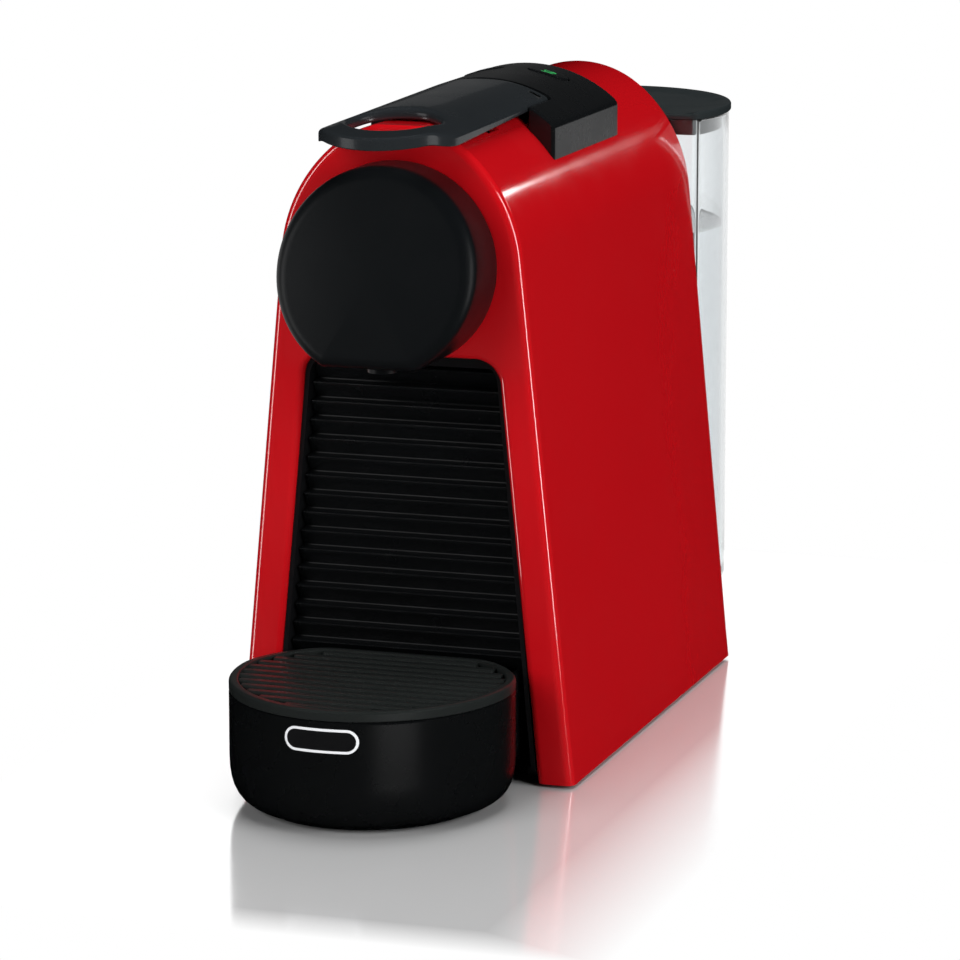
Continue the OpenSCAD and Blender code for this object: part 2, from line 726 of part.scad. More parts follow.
// Drip module: a round tray with a tongue into the bay, a cup grid, a front panel and a container.
tray_y = front_y - 26.2;
tray_back_d = 35;
tray_rear_y = front_y + 2.1;
tongue_half_w = 36;
module_y1 = front_y + 60;
tray_body_h = tray_h - grid_rim_h;
tray_wall = 2.2;
module tray_plan(inset) {
  steps = 28;
  half_w = tray_half_w - inset;
  front_d = tray_half_d - inset;
  back_d = tray_back_d - inset;
  cut = asin((tray_rear_y - inset - tray_y) / back_d);
  polygon(concat(
    [for (i = [0:steps]) let (a = 180 + 180 * i / steps) [half_w * cos(a), tray_y + front_d * sin(a)]],
    [for (i = [1:10]) let (a = cut * i / 10) [half_w * cos(a), tray_y + back_d * sin(a)]],
    [for (i = [10:-1:1]) let (a = 180 - cut * i / 10) [half_w * cos(a), tray_y + back_d * sin(a)]]));
}
module drip_plan(inset) {
  tray_plan(inset);
  translate([-tongue_half_w + inset, tray_y])
    square([2 * (tongue_half_w - inset), module_y1 - tray_y - inset]);
}
module drip_body() {
  color([0.04, 0.04, 0.045]) {
    difference() {
      union() {
        translate([0, 0, 14]) linear_extrude(tray_body_h - 14) drip_plan(0);
        translate([0, 0, 9]) linear_extrude(5.1) drip_plan(1.2);
        translate([0, 0, 6]) linear_extrude(3.1) drip_plan(4);
      }
      translate([0, 0, 14]) linear_extrude(tray_h) drip_plan(tray_wall);
      translate([0, 0, 8.4]) linear_extrude(tray_h) drip_plan(tray_wall + 3.6);
    }
    translate([0, 0, 3]) linear_extrude(3.1) tray_plan(5.2);
    translate([0, 0, 0.3]) linear_extrude(3) tray_plan(8.3);
  }
}
module tray_badge() {
  badge_r = 3.6;
  badge_half_w = 11.4;
  badge_z = 29;
  color([0.75, 0.76, 0.77]) intersection() {
    translate([0, 0, 20]) linear_extrude(20) difference() {
      tray_plan(-0.4);
      tray_plan(0);
    }
    along_y(tray_y - 60, tray_y) translate([0, badge_z]) {
      for (s = [-1, 1]) translate([s * (badge_half_w - badge_r), 0]) circle(badge_r);
      square([2 * (badge_half_w - badge_r), 2 * badge_r], center = true);
    }
  }
}
module cup_grid() {
  rim = 3;
  color([0.06, 0.06, 0.065]) translate([0, 0, tray_body_h]) {
    linear_extrude(grid_rim_h) difference() {
      tray_plan(0);
      tray_plan(rim);
    }
    intersection() {
      linear_extrude(grid_rim_h) tray_plan(rim - 0.5);
      for (y = [tray_y - tray_half_d + 5:grid_pitch:tray_rear_y - 5])
        box_between([-60, y, 0.8], [60, y + 3.6, grid_rim_h - 0.4]);
    }
    for (x = [-20, 0, 20]) intersection() {
      linear_extrude(1.4) tray_plan(rim - 0.5);
      box_between([x - 1, tray_y - 60, 0], [x + 1, tray_y + 40, 1.4]);
    }
  }
}
panel_y0 = front_y + 2.4;
panel_y1 = front_y + 8;
panel_inset = liner_t + 0.5;
module front_panel() {
  panel_z0 = tray_body_h;
  panel_z1 = lintel_z - 0.6;
  louvres = floor((panel_z1 - panel_z0 - 2) / louvre_pitch);
  color([0.03, 0.03, 0.033]) intersection() {
    along_y(panel_y0, panel_y1) intersection() {
      bay_outline(panel_inset);
      translate([-60, panel_z0]) square([120, panel_z1 - panel_z0]);
    }
    union() {
      box_between([-60, panel_y1 - 2.2, 0], [60, panel_y1, 140]);
      for (i = [0:louvres]) along_x(-60, 60) translate([0, panel_z1 - (i + 1) * louvre_pitch]) polygon([
        [panel_y1 - 2, 0.2], [panel_y0, louvre_pitch - 1.4], [panel_y0, louvre_pitch - 0.6],
        [panel_y1 - 2, louvre_pitch - 0.1]]);
    }
  }
}
box_y0 = panel_y1;
box_z0 = tray_body_h;
box_z1 = 118;
module capsule_container() {
  color([0.07, 0.07, 0.075]) difference() {
    union() {
      box_between([-29, box_y0, box_z0], [29, module_y1 - 4, box_z1]);
      box_between([-35, box_y0, box_z0], [35, module_y1 - 4, box_z0 + 1.6]);
    }
    box_between([-27.4, box_y0 + 1.6, box_z0 + 1.6], [27.4, module_y1 - 5.6, box_z1 + 5]);
    for (x = [-20:8:20])
      box_between([x - 1.5, box_y0 + 6, box_z0 - 1], [x + 1.5, module_y1 - 10, box_z0 + 3]);
  }
}

shell();
rear_cover();
base_plate();
feet();
bay_liner();
chassis_left();
chassis_right();
head_cover();
outlet_nozzle();
head_screws();
console();
lever_pin();
capsule_chute();
injection_block();
brew_seal();
thermoblock();
thermal_cutout();
pump_body();
pump_spring();
pump_mounts();
flow_meter();
control_board();
suction_hose();
pressure_hose();
tank_dock();
dock_seal();
cord_gland();
cover_screws();
dome_left();
dome_right();
lever();
lever_crank();
brew_carriage();
piercing_plate();
button_left();
button_right();
drip_body();
tray_badge();
front_panel();
capsule_container();
cup_grid();
tank();
tank_lid();
tank_valve();
pump_plunger();
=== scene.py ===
"""Capsule espresso machine: its visual pieces, materials, light and camera. Lengths are in millimetres."""
import json
import math

import bmesh
import bpy
from mathutils import Matrix, Vector
from mathutils.geometry import delaunay_2d_cdt

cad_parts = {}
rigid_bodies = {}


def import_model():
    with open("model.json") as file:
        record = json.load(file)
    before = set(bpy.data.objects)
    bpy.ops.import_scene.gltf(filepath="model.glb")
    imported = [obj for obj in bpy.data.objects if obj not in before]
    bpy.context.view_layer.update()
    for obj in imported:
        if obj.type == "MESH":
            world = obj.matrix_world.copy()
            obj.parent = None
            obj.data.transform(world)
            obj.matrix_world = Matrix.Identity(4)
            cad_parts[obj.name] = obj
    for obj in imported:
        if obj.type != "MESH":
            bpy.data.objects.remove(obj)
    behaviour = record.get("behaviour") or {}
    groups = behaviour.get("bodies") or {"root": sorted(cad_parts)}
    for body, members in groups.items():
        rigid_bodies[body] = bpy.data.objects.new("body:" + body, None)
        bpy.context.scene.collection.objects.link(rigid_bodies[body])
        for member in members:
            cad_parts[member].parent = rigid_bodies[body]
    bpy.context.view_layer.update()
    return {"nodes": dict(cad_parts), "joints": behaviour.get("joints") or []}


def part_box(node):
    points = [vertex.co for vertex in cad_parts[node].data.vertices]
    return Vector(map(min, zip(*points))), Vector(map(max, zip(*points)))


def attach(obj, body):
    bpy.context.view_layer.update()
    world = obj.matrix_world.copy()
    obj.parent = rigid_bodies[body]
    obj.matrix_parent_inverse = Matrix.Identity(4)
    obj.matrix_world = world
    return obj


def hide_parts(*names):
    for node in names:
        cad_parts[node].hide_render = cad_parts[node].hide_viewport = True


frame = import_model()
MM = 0.001


def box(node):
    """Lowest and highest corner of a CAD node in millimetres."""
    low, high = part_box(node)
    return Vector(low) / MM, Vector(high) / MM


def middle(node):
    """Middle of a CAD node's box in millimetres."""
    low, high = box(node)
    return (low + high) / 2


# --- camera and light ---

# Metres and degrees
CAMERA_AT = (0.44044, -1.34501, 0.35847)
CAMERA_TILT, CAMERA_TURN = 78.66, 18.34
CAMERA_LENS = 169.2


def add_camera():
    data = bpy.data.cameras.new("view")
    data.lens = CAMERA_LENS
    data.sensor_width = 36.0
    data.clip_end = 50.0
    cam = bpy.data.objects.new("view", data)
    bpy.context.collection.objects.link(cam)
    cam.location = CAMERA_AT
    cam.rotation_euler = (math.radians(CAMERA_TILT), 0.0, math.radians(CAMERA_TURN))
    bpy.context.scene.camera = cam


def add_light(name, size, power, at, only=(), aim_z=0.1):
    """A soft light, sized and placed in metres. With looks named it is seen only as a reflection on them."""
    data = bpy.data.lights.new(name, "AREA")
    data.shape = "RECTANGLE"
    data.size, data.size_y = size
    data.energy = power
    lamp = bpy.data.objects.new(name, data)
    bpy.context.collection.objects.link(lamp)
    lamp.location = at
    lamp.rotation_euler = (Vector((0, 0, aim_z)) - Vector(at)).to_track_quat("-Z", "Y").to_euler()
    lamp.visible_diffuse = not only
    lamp.visible_glossy = bool(only)
    if only:
        looks = [MATERIALS[look] for look in only]
        lit = bpy.data.collections.new(name + "_lit")
        for obj in bpy.context.scene.objects:
            if obj.type == "MESH" and obj.data.materials and obj.data.materials[0] in looks:
                lit.objects.link(obj)
        lamp.light_linking.receiver_collection = lit


def add_world(strength):
    world = bpy.data.worlds.new("studio")
    bpy.context.scene.world = world
    world.use_nodes = True
    back = world.node_tree.nodes["Background"]
    back.inputs["Color"].default_value = (1.0, 1.0, 1.0, 1.0)
    back.inputs["Strength"].default_value = strength


# --- materials ---

class Nodes:
    """A short way to write a Principled material with node inputs."""

    def __init__(self, name):
        self.mat = bpy.data.materials.new(name)
        self.mat.use_nodes = True
        self.tree = self.mat.node_tree
        self.shader = self.tree.nodes["Principled BSDF"]
        self.coords = self.tree.nodes.new("ShaderNodeTexCoord").outputs["Object"]

    def fill(self, socket, value):
        """Gives a socket a value, or links it to another node's output."""
        if isinstance(value, bpy.types.NodeSocket):
            self.tree.links.new(value, socket)
        else:
            socket.default_value = value

    def add(self, kind, output, **inputs):
        """Adds a node with its inputs filled and gives one of its outputs."""
        node = self.tree.nodes.new("ShaderNode" + kind)
        for key, value in inputs.items():
            self.fill(node.inputs[key.replace("_", " ")], value)
        return node.outputs[output]

    def set(self, **values):
        for key, value in values.items():
            self.fill(self.shader.inputs[key.replace("_", " ")], value)

    def noise(self, scale, detail=3.0, stretch=(1, 1, 1)):
        mapped = self.add("Mapping", "Vector", Scale=stretch, Vector=self.coords)
        return self.add("TexNoise", "Fac", Scale=scale, Detail=detail, Vector=mapped)

    def ramp(self, source, low, high, start=0.3, end=0.7):
        return self.add("MapRange", "Result", From_Min=start, From_Max=end, To_Min=low, To_Max=high,
                        Value=source)

    def mix(self, factor, first, second):
        """Mixes a colour, or the output of another node, towards a fixed colour."""
        node = self.tree.nodes.new("ShaderNodeMix")
        node.data_type = "RGBA"
        self.fill(node.inputs["Factor"], factor)
        self.fill(node.inputs["A"], (*first, 1.0) if isinstance(first, tuple) else first)
        self.fill(node.inputs["B"], (*second, 1.0))
        return node.outputs["Result"]

    def bump(self, source, distance, strength=1.0, **onto):
        normal = self.add("Bump", "Normal", Strength=strength, Distance=distance, Height=source, **onto)
        self.set(Normal=normal)
        return normal


def moulded(name, colour, second, rough, grain=0.00002, grain_scale=2600.0, spread=0.06, coat=0.0, **extra):
    """Moulded plastic: cloudy colour, uneven roughness, and a fine eroded grain."""
    n = Nodes(name)
    cloud = n.noise(35.0, 4.0)
    n.set(Base_Color=n.mix(n.ramp(cloud, 0.0, 1.0), colour, second))
    n.set(Roughness=n.ramp(n.noise(90.0, 5.0), rough - spread, rough + spread))
    first = n.bump(n.noise(grain_scale, 2.0), grain)
    n.bump(n.noise(9.0, 1.0), 0.00002, 0.3, Normal=first)
    n.set(Coat_Weight=coat, **extra)
    return n.mat


def gloss(name, colour, second, rough=0.16, coat=0.6, wave=0.00003):
    """Glossy moulding: deep colour under a clear skin with a faint ripple."""
    n = Nodes(name)
    n.set(Base_Color=n.mix(n.ramp(n.noise(8.0, 3.0), 0.0, 1.0), colour, second))
    n.set(Roughness=n.ramp(n.noise(60.0, 6.0), rough - 0.03, rough + 0.05))
    first = n.bump(n.noise(700.0, 2.0), 0.000004)
    n.bump(n.noise(6.0, 1.0), wave, 0.3, Normal=first)
    n.set(Coat_Weight=coat, Coat_Roughness=0.05, Coat_IOR=1.5)
    return n.mat


def metal(name, colour, rough, stretch=(1, 1, 40), scale=60.0):
    n = Nodes(name)
    lines = n.noise(scale, 6.0, stretch)
    n.set(Base_Color=n.mix(n.ramp(lines, 0.0, 1.0), colour, tuple(c * 0.8 for c in colour)))
    n.set(Roughness=n.ramp(lines, rough - 0.08, rough + 0.1))
    n.bump(lines, 0.00001)
    n.set(Metallic=1.0)
    return n.mat


def clear(name, colour, edge, ior, rough=0.02, ripple=0.00001):
    """Clear moulding or water: a faint colour, with painted shade that darkens it where the surface turns
    away.
    """
    n = Nodes(name)
    facing = n.add("LayerWeight", "Facing")
    # Painted shade: the colour darkens towards the edge colour where the surface turns away from the view,
    # and a little in random clouds.
    tint_with_painted_edge_shade = n.mix(n.ramp(facing, 0.0, 1.0, 0.4, 0.9), colour, edge)
    n.set(Base_Color=n.mix(n.ramp(n.noise(12.0), 0.0, 0.1), tint_with_painted_edge_shade, edge))
    n.set(Roughness=n.ramp(n.noise(40.0, 4.0), rough * 0.5, rough * 1.5))
    n.bump(n.noise(25.0, 2.0), ripple, 0.5)
    n.set(Transmission_Weight=1.0, IOR=ior)
    return n.mat


# In metres: half the footprint, and how far from its edge the mirror image starts and ends its fade
FLOOR_HALF_W, FLOOR_HALF_D = 0.054, 0.163
FADE_X, FADE_Y = (0.02, 0.06), (0.072, 0.092)


def floor_material():
    """A white polished table top that mirrors what stands close to it and is plain white further out."""
    n = Nodes("floor_white")
    n.set(Base_Color=n.mix(n.ramp(n.noise(1.2, 2.0), 0.0, 1.0), (0.93, 0.93, 0.93), (0.91, 0.91, 0.915)))
    n.set(Roughness=n.ramp(n.noise(30.0, 4.0), 0.11, 0.15))
    n.bump(n.noise(400.0, 2.0), 0.000002, 0.3)
    n.set(Metallic=0.52)
    x, y = (n.add("SeparateXYZ", name, Vector=n.coords) for name in "XY")

    def math_node(operation, first, second=0.0):
        node = n.tree.nodes.new("ShaderNodeMath")
        node.operation = operation
        n.fill(node.inputs[0], first)
        n.fill(node.inputs[1], second)
        return node.outputs["Value"]

    across = math_node("SUBTRACT", math_node("ABSOLUTE", x), FLOOR_HALF_W)
    along = math_node("SUBTRACT", math_node("ABSOLUTE", y), FLOOR_HALF_D)
    away = math_node("MAXIMUM", n.ramp(across, 0.0, 1.0, *FADE_X), n.ramp(along, 0.0, 1.0, *FADE_Y))
    blend = n.tree.nodes.new("ShaderNodeMixShader")
    n.fill(blend.inputs["Fac"], away)
    n.fill(blend.inputs[1], n.shader.outputs["BSDF"])
    n.fill(blend.inputs[2], n.add("Emission", "Emission"))
    n.fill(n.tree.nodes["Material Output"].inputs["Surface"], blend.outputs["Shader"])
    return n.mat


MATERIALS = {
    "red": gloss("red_gloss", (0.445, 0.0042, 0.0075), (0.425, 0.0038, 0.0070), 0.12, 0.5),
    "head": moulded("head_satin", (0.0036, 0.0042, 0.0048), (0.0030, 0.0036, 0.0042), 0.36, spread=0.02),
    "lever": gloss("lever_gloss", (0.0150, 0.0175, 0.0195), (0.0130, 0.0152, 0.0170), 0.24, 0.3, 0.00001),
    "console": moulded("console_satin", (0.0050, 0.0055, 0.0060), (0.0042, 0.0047, 0.0052), 0.28, 0.000005,
                       spread=0.02),
    "grid": moulded("grid_satin", (0.0125, 0.0145, 0.0140), (0.0105, 0.0122, 0.0118), 0.34, 0.000008,
                    spread=0.02),
    "tray": moulded("tray_semigloss", (0.0034, 0.0038, 0.0040), (0.0028, 0.0031, 0.0034), 0.27, 0.000008,
                    spread=0.02),
    "black": moulded("black_matt", (0.0060, 0.0060, 0.0066), (0.0045, 0.0045, 0.0050), 0.42, 0.00002),
    "louvre": moulded("louvre_gloss", (0.0034, 0.0038, 0.0042), (0.0028, 0.0031, 0.0034), 0.22, 0.00001),
    "lid": moulded("lid_charcoal", (0.0180, 0.0225, 0.0235), (0.0155, 0.0195, 0.0205), 0.40, 0.00002,
                   spread=0.02),
    # The second colour of the tank and the water is painted shade that darkens their edges.
    "tank": clear("tank_clear", (0.93, 0.95, 0.96), (0.38, 0.42, 0.44), 1.49, 0.03),
    "water": clear("water_clear", (0.94, 0.96, 0.97), (0.62, 0.66, 0.68), 1.33, 0.004, 0.0),
    "badge": moulded("badge_satin", (0.72, 0.73, 0.75), (0.68, 0.69, 0.71), 0.3, 0.00001),
    "steel": metal("sheet_brushed", (0.5, 0.51, 0.53), 0.34),
    "screw": metal("plated_steel", (0.6, 0.61, 0.63), 0.28, (20, 1, 1)),
    "cast": metal("cast_aluminium", (0.66, 0.67, 0.69), 0.45, (1, 1, 1), 400.0),
    "rubber": moulded("rubber_black", (0.012, 0.012, 0.012), (0.009, 0.009, 0.009), 0.62, 0.00003, 1500.0),
    "seal": moulded("seal_silicone", (0.20, 0.04, 0.025), (0.16, 0.03, 0.02), 0.5),
    "dome": moulded("dome_silicone", (0.55, 0.55, 0.52), (0.50, 0.50, 0.47), 0.5),
    "ceramic": moulded("ceramic_cream", (0.66, 0.6, 0.46), (0.6, 0.54, 0.41), 0.5),
    "valve": moulded("valve_blue", (0.03, 0.09, 0.18), (0.025, 0.075, 0.15), 0.4),
    "pump": moulded("pump_grey", (0.035, 0.038, 0.045), (0.03, 0.032, 0.038), 0.45),
    "white": moulded("white_plastic", (0.66, 0.66, 0.63), (0.62, 0.62, 0.59), 0.4),
    "board": moulded("board_green", (0.008, 0.05, 0.016), (0.006, 0.04, 0.012), 0.35),
    "hose": moulded("hose_milky", (0.5, 0.52, 0.54), (0.46, 0.48, 0.5), 0.35, Transmission_Weight=0.3),
}
CARRIED = {
    "black": ("rear_cover", "base_plate", "bay_liner", "capsule_chute",
              "injection_block", "brew_carriage", "capsule_container"),
    "rubber": ("feet", "pump_mounts", "cord_gland"),
    "steel": ("chassis_left", "chassis_right", "lever_crank"),
    "head": ("outlet_nozzle",),
    "screw": ("head_screws", "lever_pin", "pump_spring", "cover_screws", "piercing_plate", "pump_plunger"),
    "seal": ("brew_seal", "dock_seal"),
    "cast": ("thermoblock",),
    "ceramic": ("thermal_cutout",),
    "pump": ("pump_body",),
    "white": ("flow_meter",),
    "board": ("control_board",),
    "hose": ("suction_hose", "pressure_hose"),
    "dome": ("dome_left", "dome_right"),
    "valve": ("tank_valve",),
}


# --- mesh helpers ---

SHARP_ANGLE = 35.0
ACROSS, UP = (1, 0, 0), (0, 0, 1)


def mesh_object(name, verts, faces, weld):
    """A mesh from millimetre points with its faces outwards; weld joins the points that coincide."""
    mesh = bpy.data.meshes.new(name)
    mesh.from_pydata([Vector(v) * MM for v in verts], [], faces)
    bm = bmesh.new()
    bm.from_mesh(mesh)
    if weld:
        bmesh.ops.remove_doubles(bm, verts=bm.verts, dist=1e-6)
    bmesh.ops.recalc_face_normals(bm, faces=bm.faces)
    bm.to_mesh(mesh)
    bm.free()
    obj = bpy.data.objects.new(name, mesh)
    bpy.context.collection.objects.link(obj)
    return obj


def piece(name, verts, faces, material, body, replaced=(), angle=SHARP_ANGLE):
    """A smooth-shaded mesh that rides on a body and stands for CAD nodes."""
    obj = mesh_object(name, verts, faces, True)
    shade(obj, angle)
    obj.data.materials.append(MATERIALS[material])
    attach(obj, body)
    if replaced:
        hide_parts(*replaced)
    return obj


def shade(obj, angle):
    """Smooth shading with sharp edges above an angle in degrees."""
    mesh = obj.data
    mesh.shade_smooth()
    mesh.set_sharp_from_angle(angle=math.radians(angle))
    weighted = obj.modifiers.new("weighted", "WEIGHTED_NORMAL")
    weighted.keep_sharp = True


def cut(obj, *cutters):
    """Subtracts closed millimetre meshes (verts, faces) from a piece."""
    helpers = []
    for verts, faces in cutters:
        helper = mesh_object("cutter", verts, faces, False)
        step = obj.modifiers.new("cut", "BOOLEAN")
        step.object = helper
        step.solver = "EXACT"
        helpers.append(helper)
    kept = [m for m in obj.modifiers if m.type == "WEIGHTED_NORMAL"]
    for m in kept:
        obj.modifiers.remove(m)
    bpy.context.view_layer.update()
    graph = bpy.context.evaluated_depsgraph_get()
    mesh = bpy.data.meshes.new_from_object(obj.evaluated_get(graph))
    obj.modifiers.clear()
    obj.data = mesh
    for helper in helpers:
        bpy.data.objects.remove(helper)
    shade(obj, SHARP_ANGLE)


def strip(rows, close_rows=False, close_points=False):
    """Quads between rows of points of equal length."""
    count = len(rows[0])
    verts = [p for row in rows for p in row]
    faces = []
    for r in range(len(rows) if close_rows else len(rows) - 1):
        s = (r + 1) % len(rows)
        for i in range(count if close_points else count - 1):
            j = (i + 1) % count
            faces.append((r * count + i, r * count + j, s * count + j, s * count + i))
    return verts, faces


def capped(rows):
    """A closed skin over rows of points, with a face at each end."""
    verts, faces = strip(rows, close_points=True)
    n = len(rows[0])
    return verts, faces + [tuple(range(n)), tuple(range(len(verts) - n, len(verts)))]


def join(*parts):
    """Joins (verts, faces) pairs into one."""
    verts, faces = [], []
    for more_verts, more_faces in parts:
        base = len(verts)
        verts += list(more_verts)
        faces += [tuple(base + i for i in f) for f in more_faces]
    return verts, faces


def placed(part, matrix):
    """Moves a (verts, faces) pair by a matrix."""
    verts, faces = part
    return [tuple(matrix @ Vector(v)) for v in verts], faces


def outline_normals(loop):
    """Outward 2D normals of a counter-clockwise closed loop."""
    count = len(loop)
    normals = []
    for i in range(count):
        a = Vector(loop[(i - 1) % count])
        b = Vector(loop[i])
        c = Vector(loop[(i + 1) % count])
        one = (b - a).normalized()
        two = (c - b).normalized()
        mid = Vector((one.y, -one.x)) + Vector((two.y, -two.x))
        if mid.length < 1e-9:
            mid = Vector((one.y, -one.x))
        mid.normalize()
        scale = 1.0 / max(0.5, mid.dot(Vector((one.y, -one.x))))
        normals.append(mid * scale)
    return normals


def offset_loop(loop, distance):
    """The loop moved outwards by a distance, or inwards by a negative one."""
    return [tuple(Vector(p) + n * distance) for p, n in zip(loop, outline_normals(loop))]


def inside(point, loop):
    """Whether a point lies within a closed loop."""
    x, y = point
    hit = False
    for (x0, y0), (x1, y1) in zip(loop, loop[1:] + loop[:1]):
        if (y0 > y) != (y1 > y) and x < (x1 - x0) * (y - y0) / (y1 - y0) + x0:
            hit = not hit
    return hit


def near(point, loop, limit):
    """Whether a point lies closer to a closed loop than a limit."""
    p = Vector(point)
    for a, b in zip(loop, loop[1:] + loop[:1]):
        a, b = Vector(a), Vector(b)
        ab = b - a
        t = max(0.0, min(1.0, (p - a).dot(ab) / max(ab.length_squared, 1e-12)))
        if (p - a - ab * t).length < limit:
            return True
    return False


def filled(outer, holes, pitch):
    """Triangles over an outline with holes, with a grid of inner points so that it can bend."""
    loops = [outer] + list(holes)
    points, edges = [], []
    for loop in loops:
        base = len(points)
        points += [Vector(p) for p in loop]
        edges += [(base + i, base + (i + 1) % len(loop)) for i in range(len(loop))]
    xs = [p[0] for p in outer]
    ys = [p[1] for p in outer]
    for i in range(int((max(xs) - min(xs)) / pitch[0]) + 1):
        for j in range(int((max(ys) - min(ys)) / pitch[1]) + 1):
            q = (min(xs) + (i + 0.5) * pitch[0], min(ys) + (j + 0.5) * pitch[1])
            if inside(q, outer) and not any(inside(q, h) for h in holes):
                if not any(near(q, ring, 0.45 * min(pitch)) for ring in loops):
                    points.append(Vector(q))
    result = delaunay_2d_cdt(points, edges, [], 0, 1e-7)
    verts, faces = result[0], result[2]
    kept = []
    for f in faces:
        mid = sum((verts[i] for i in f), Vector((0, 0))) / len(f)
        if inside(mid, outer) and not any(inside(mid, h) for h in holes):
            kept.append(tuple(f))
    return [tuple(v) for v in verts], kept


def plate(outer, holes, top, bottom, r_top, r_bottom, pitch=(3.0, 3.0), steps=5):
    """A plate with rounded edges over an outline in x and y, between two height functions."""
    loops = [list(outer)] + [list(reversed(h)) for h in holes]
    tops = r_top if isinstance(r_top, tuple) else (r_top,)
    lows = r_bottom if isinstance(r_bottom, tuple) else (r_bottom,)
    tops = [tops[min(i, len(tops) - 1)] for i in range(len(loops))]
    lows = [lows[min(i, len(lows) - 1)] for i in range(len(loops))]
    parts = []
    for insets, height in ((tops, top), (lows, bottom)):
        inner = [offset_loop(loop, -inset) for loop, inset in zip(loops, insets)]
        verts, faces = filled(inner[0], [list(reversed(ring)) for ring in inner[1:]], pitch)
        parts.append(([(x, y, height(x, y)) for x, y in verts], faces))
    for loop, up, down in zip(loops, tops, lows):
        rows = []
        for drop, back in quarter(steps):
            rows.append([(x, y, top(x, y) - up * drop) for x, y in offset_loop(loop, -up * back)])
        for back, rise in quarter(steps):
            rows.append([(x, y, bottom(x, y) + down * rise) for x, y in offset_loop(loop, -down * back)])
        parts.append(strip(rows, close_points=True))
    return join(*parts)


def level(z):
    """A height function that is flat."""
    return lambda x, y: z


def frange(a, b, n):
    """Evenly spaced values from a to b in n steps."""
    return [a + (b - a) * k / n for k in range(n + 1)]


def arc(cx, cy, r, a0, a1, steps):
    """Points of an arc between two angles in degrees."""
    return [(cx + r * math.cos(math.radians(a0 + (a1 - a0) * k / steps)),
             cy + r * math.sin(math.radians(a0 + (a1 - a0) * k / steps))) for k in range(steps + 1)]


def quarter(steps):
    """Pairs (1 - cosine, 1 - sine) over a quarter turn, for rounded edges."""
    angles = [math.pi / 2 * k / steps for k in range(steps + 1)]
    return [(1 - math.cos(a), 1 - math.sin(a)) for a in angles]


def rounded(points, radii, steps=6):
    """A counter-clockwise polygon with a radius at each corner."""
    loop = []
    count = len(points)
    for i in range(count):
        p = Vector(points[i])
        r = radii[i] if isinstance(radii, (list, tuple)) else radii
        a = (Vector(points[(i - 1) % count]) - p).normalized()
        b = (Vector(points[(i + 1) % count]) - p).normalized()
        if r < 1e-6:
            loop.append(tuple(p))
            continue
        half = a.angle(b) / 2
        reach = r / math.tan(half)
        centre = p + (a + b).normalized() * (r / math.sin(half))
        start = p + a * reach - centre
        turn = start.angle_signed(p + b * reach - centre)
        for k in range(steps + 1):
            spin = Matrix.Rotation(-turn * k / steps, 2)
            loop.append(tuple(centre + spin @ start))
    return loop


def densify(loop, longest):
    """Adds points so that no side of the loop is longer than the limit."""
    out = []
    for a, b in zip(loop, loop[1:] + loop[:1]):
        a, b = Vector(a), Vector(b)
        n = max(1, math.ceil((b - a).length / longest))
        out += [tuple(a.lerp(b, k / n)) for k in range(n)]
    return out


def disc_fill(loop, z, pitch=4.0):
    """A flat face over a loop at a height."""
    verts, faces = filled(loop, [], (pitch, pitch))
    return [(x, y, z) for x, y in verts], faces


def walls(levels, loop_of):
    """A skin through (inset, height) levels of an outline."""
    return strip([[(x, y, z) for x, y in loop_of(i)] for i, z in levels], close_points=True)


def stadium(cx, cy, half_w, r, steps=16):
    """An outline with straight sides and round ends."""
    straight = half_w - r
    return arc(cx + straight, cy, r, -90, 90, steps) + arc(cx - straight, cy, r, 90, 270, steps)


def as_ccw(loop):
    """The loop in counter-clockwise order."""
    area = sum(a[0] * b[1] - b[0] * a[1] for a, b in zip(loop, loop[1:] + loop[:1]))
    return loop if area > 0 else loop[::-1]


def aimed(part, axis, at):
    """Turns a (verts, faces) pair that stands on z towards an axis and moves it to a point."""
    turn = Vector(UP).rotation_difference(Vector(axis)).to_matrix().to_4x4()
    return placed(part, Matrix.Translation(at) @ turn)


def turned(profile, axis, at, steps=64):
    """A ring turned about an axis from (along, radius) points; the profile closes on itself."""
    rows = [[(r * math.cos(2 * math.pi * k / steps), r * math.sin(2 * math.pi * k / steps), h)
             for k in range(steps)] for h, r in profile]
    return aimed(strip(rows, close_rows=True, close_points=True), axis, at)


def cylinder(r, low, high, axis, at=(0, 0, 0), steps=96):
    """A closed plain cylinder used only as a cutter."""
    ring = arc(0, 0, r, 0, 360, steps)[:-1]
    return aimed(capped([[(x, y, low) for x, y in ring], [(x, y, high) for x, y in ring]]), axis, at)


def block(low, high):
    """A closed plain block used only as a cutter."""
    x0, y0, z0 = low
    x1, y1, z1 = high
    verts = [(x, y, z) for x in (x0, x1) for y in (y0, y1) for z in (z0, z1)]
    faces = [(0, 1, 3, 2), (4, 6, 7, 5), (0, 4, 5, 1), (2, 3, 7, 6), (0, 2, 6, 4), (1, 5, 7, 3)]
    return verts, faces


# --- shapes shared with the CAD ---

FRONT = box("bay_liner")[0].y - 0.4
BACK = box("rear_cover")[1].y + 0.6
SHELL_H, SHELL_FOOT, CROWN_R, SHOULDER_R = 200.0, 53.9, 33.0, 47.8
SHELL_LOW_Z = box("shell")[0].z
SHOULDER_X = -9.5
TOP_R, TOP_Z = 44.0, 204.9
BAY_FOOT, BAY_TOP, BAY_CORNER, BAY_KNEE = 42.5, 31.2, 8.0, 122.0
BAY_SLOPE = (BAY_FOOT - BAY_TOP) / BAY_KNEE
HEAD_Z = 158.0
SLOT_HALF_W = 19.5
JOINTS = {j["name"]: j for j in frame["joints"]}
HINGE = Vector(JOINTS["lever_hinge"]["pos_m"]) / MM
CROWN_Z = SHELL_H - CROWN_R
JOIN_ANGLE = math.acos(-SHOULDER_X / (SHOULDER_R - CROWN_R))
SHOULDER_Z = CROWN_Z - (SHOULDER_R - CROWN_R) * math.sin(JOIN_ANGLE)


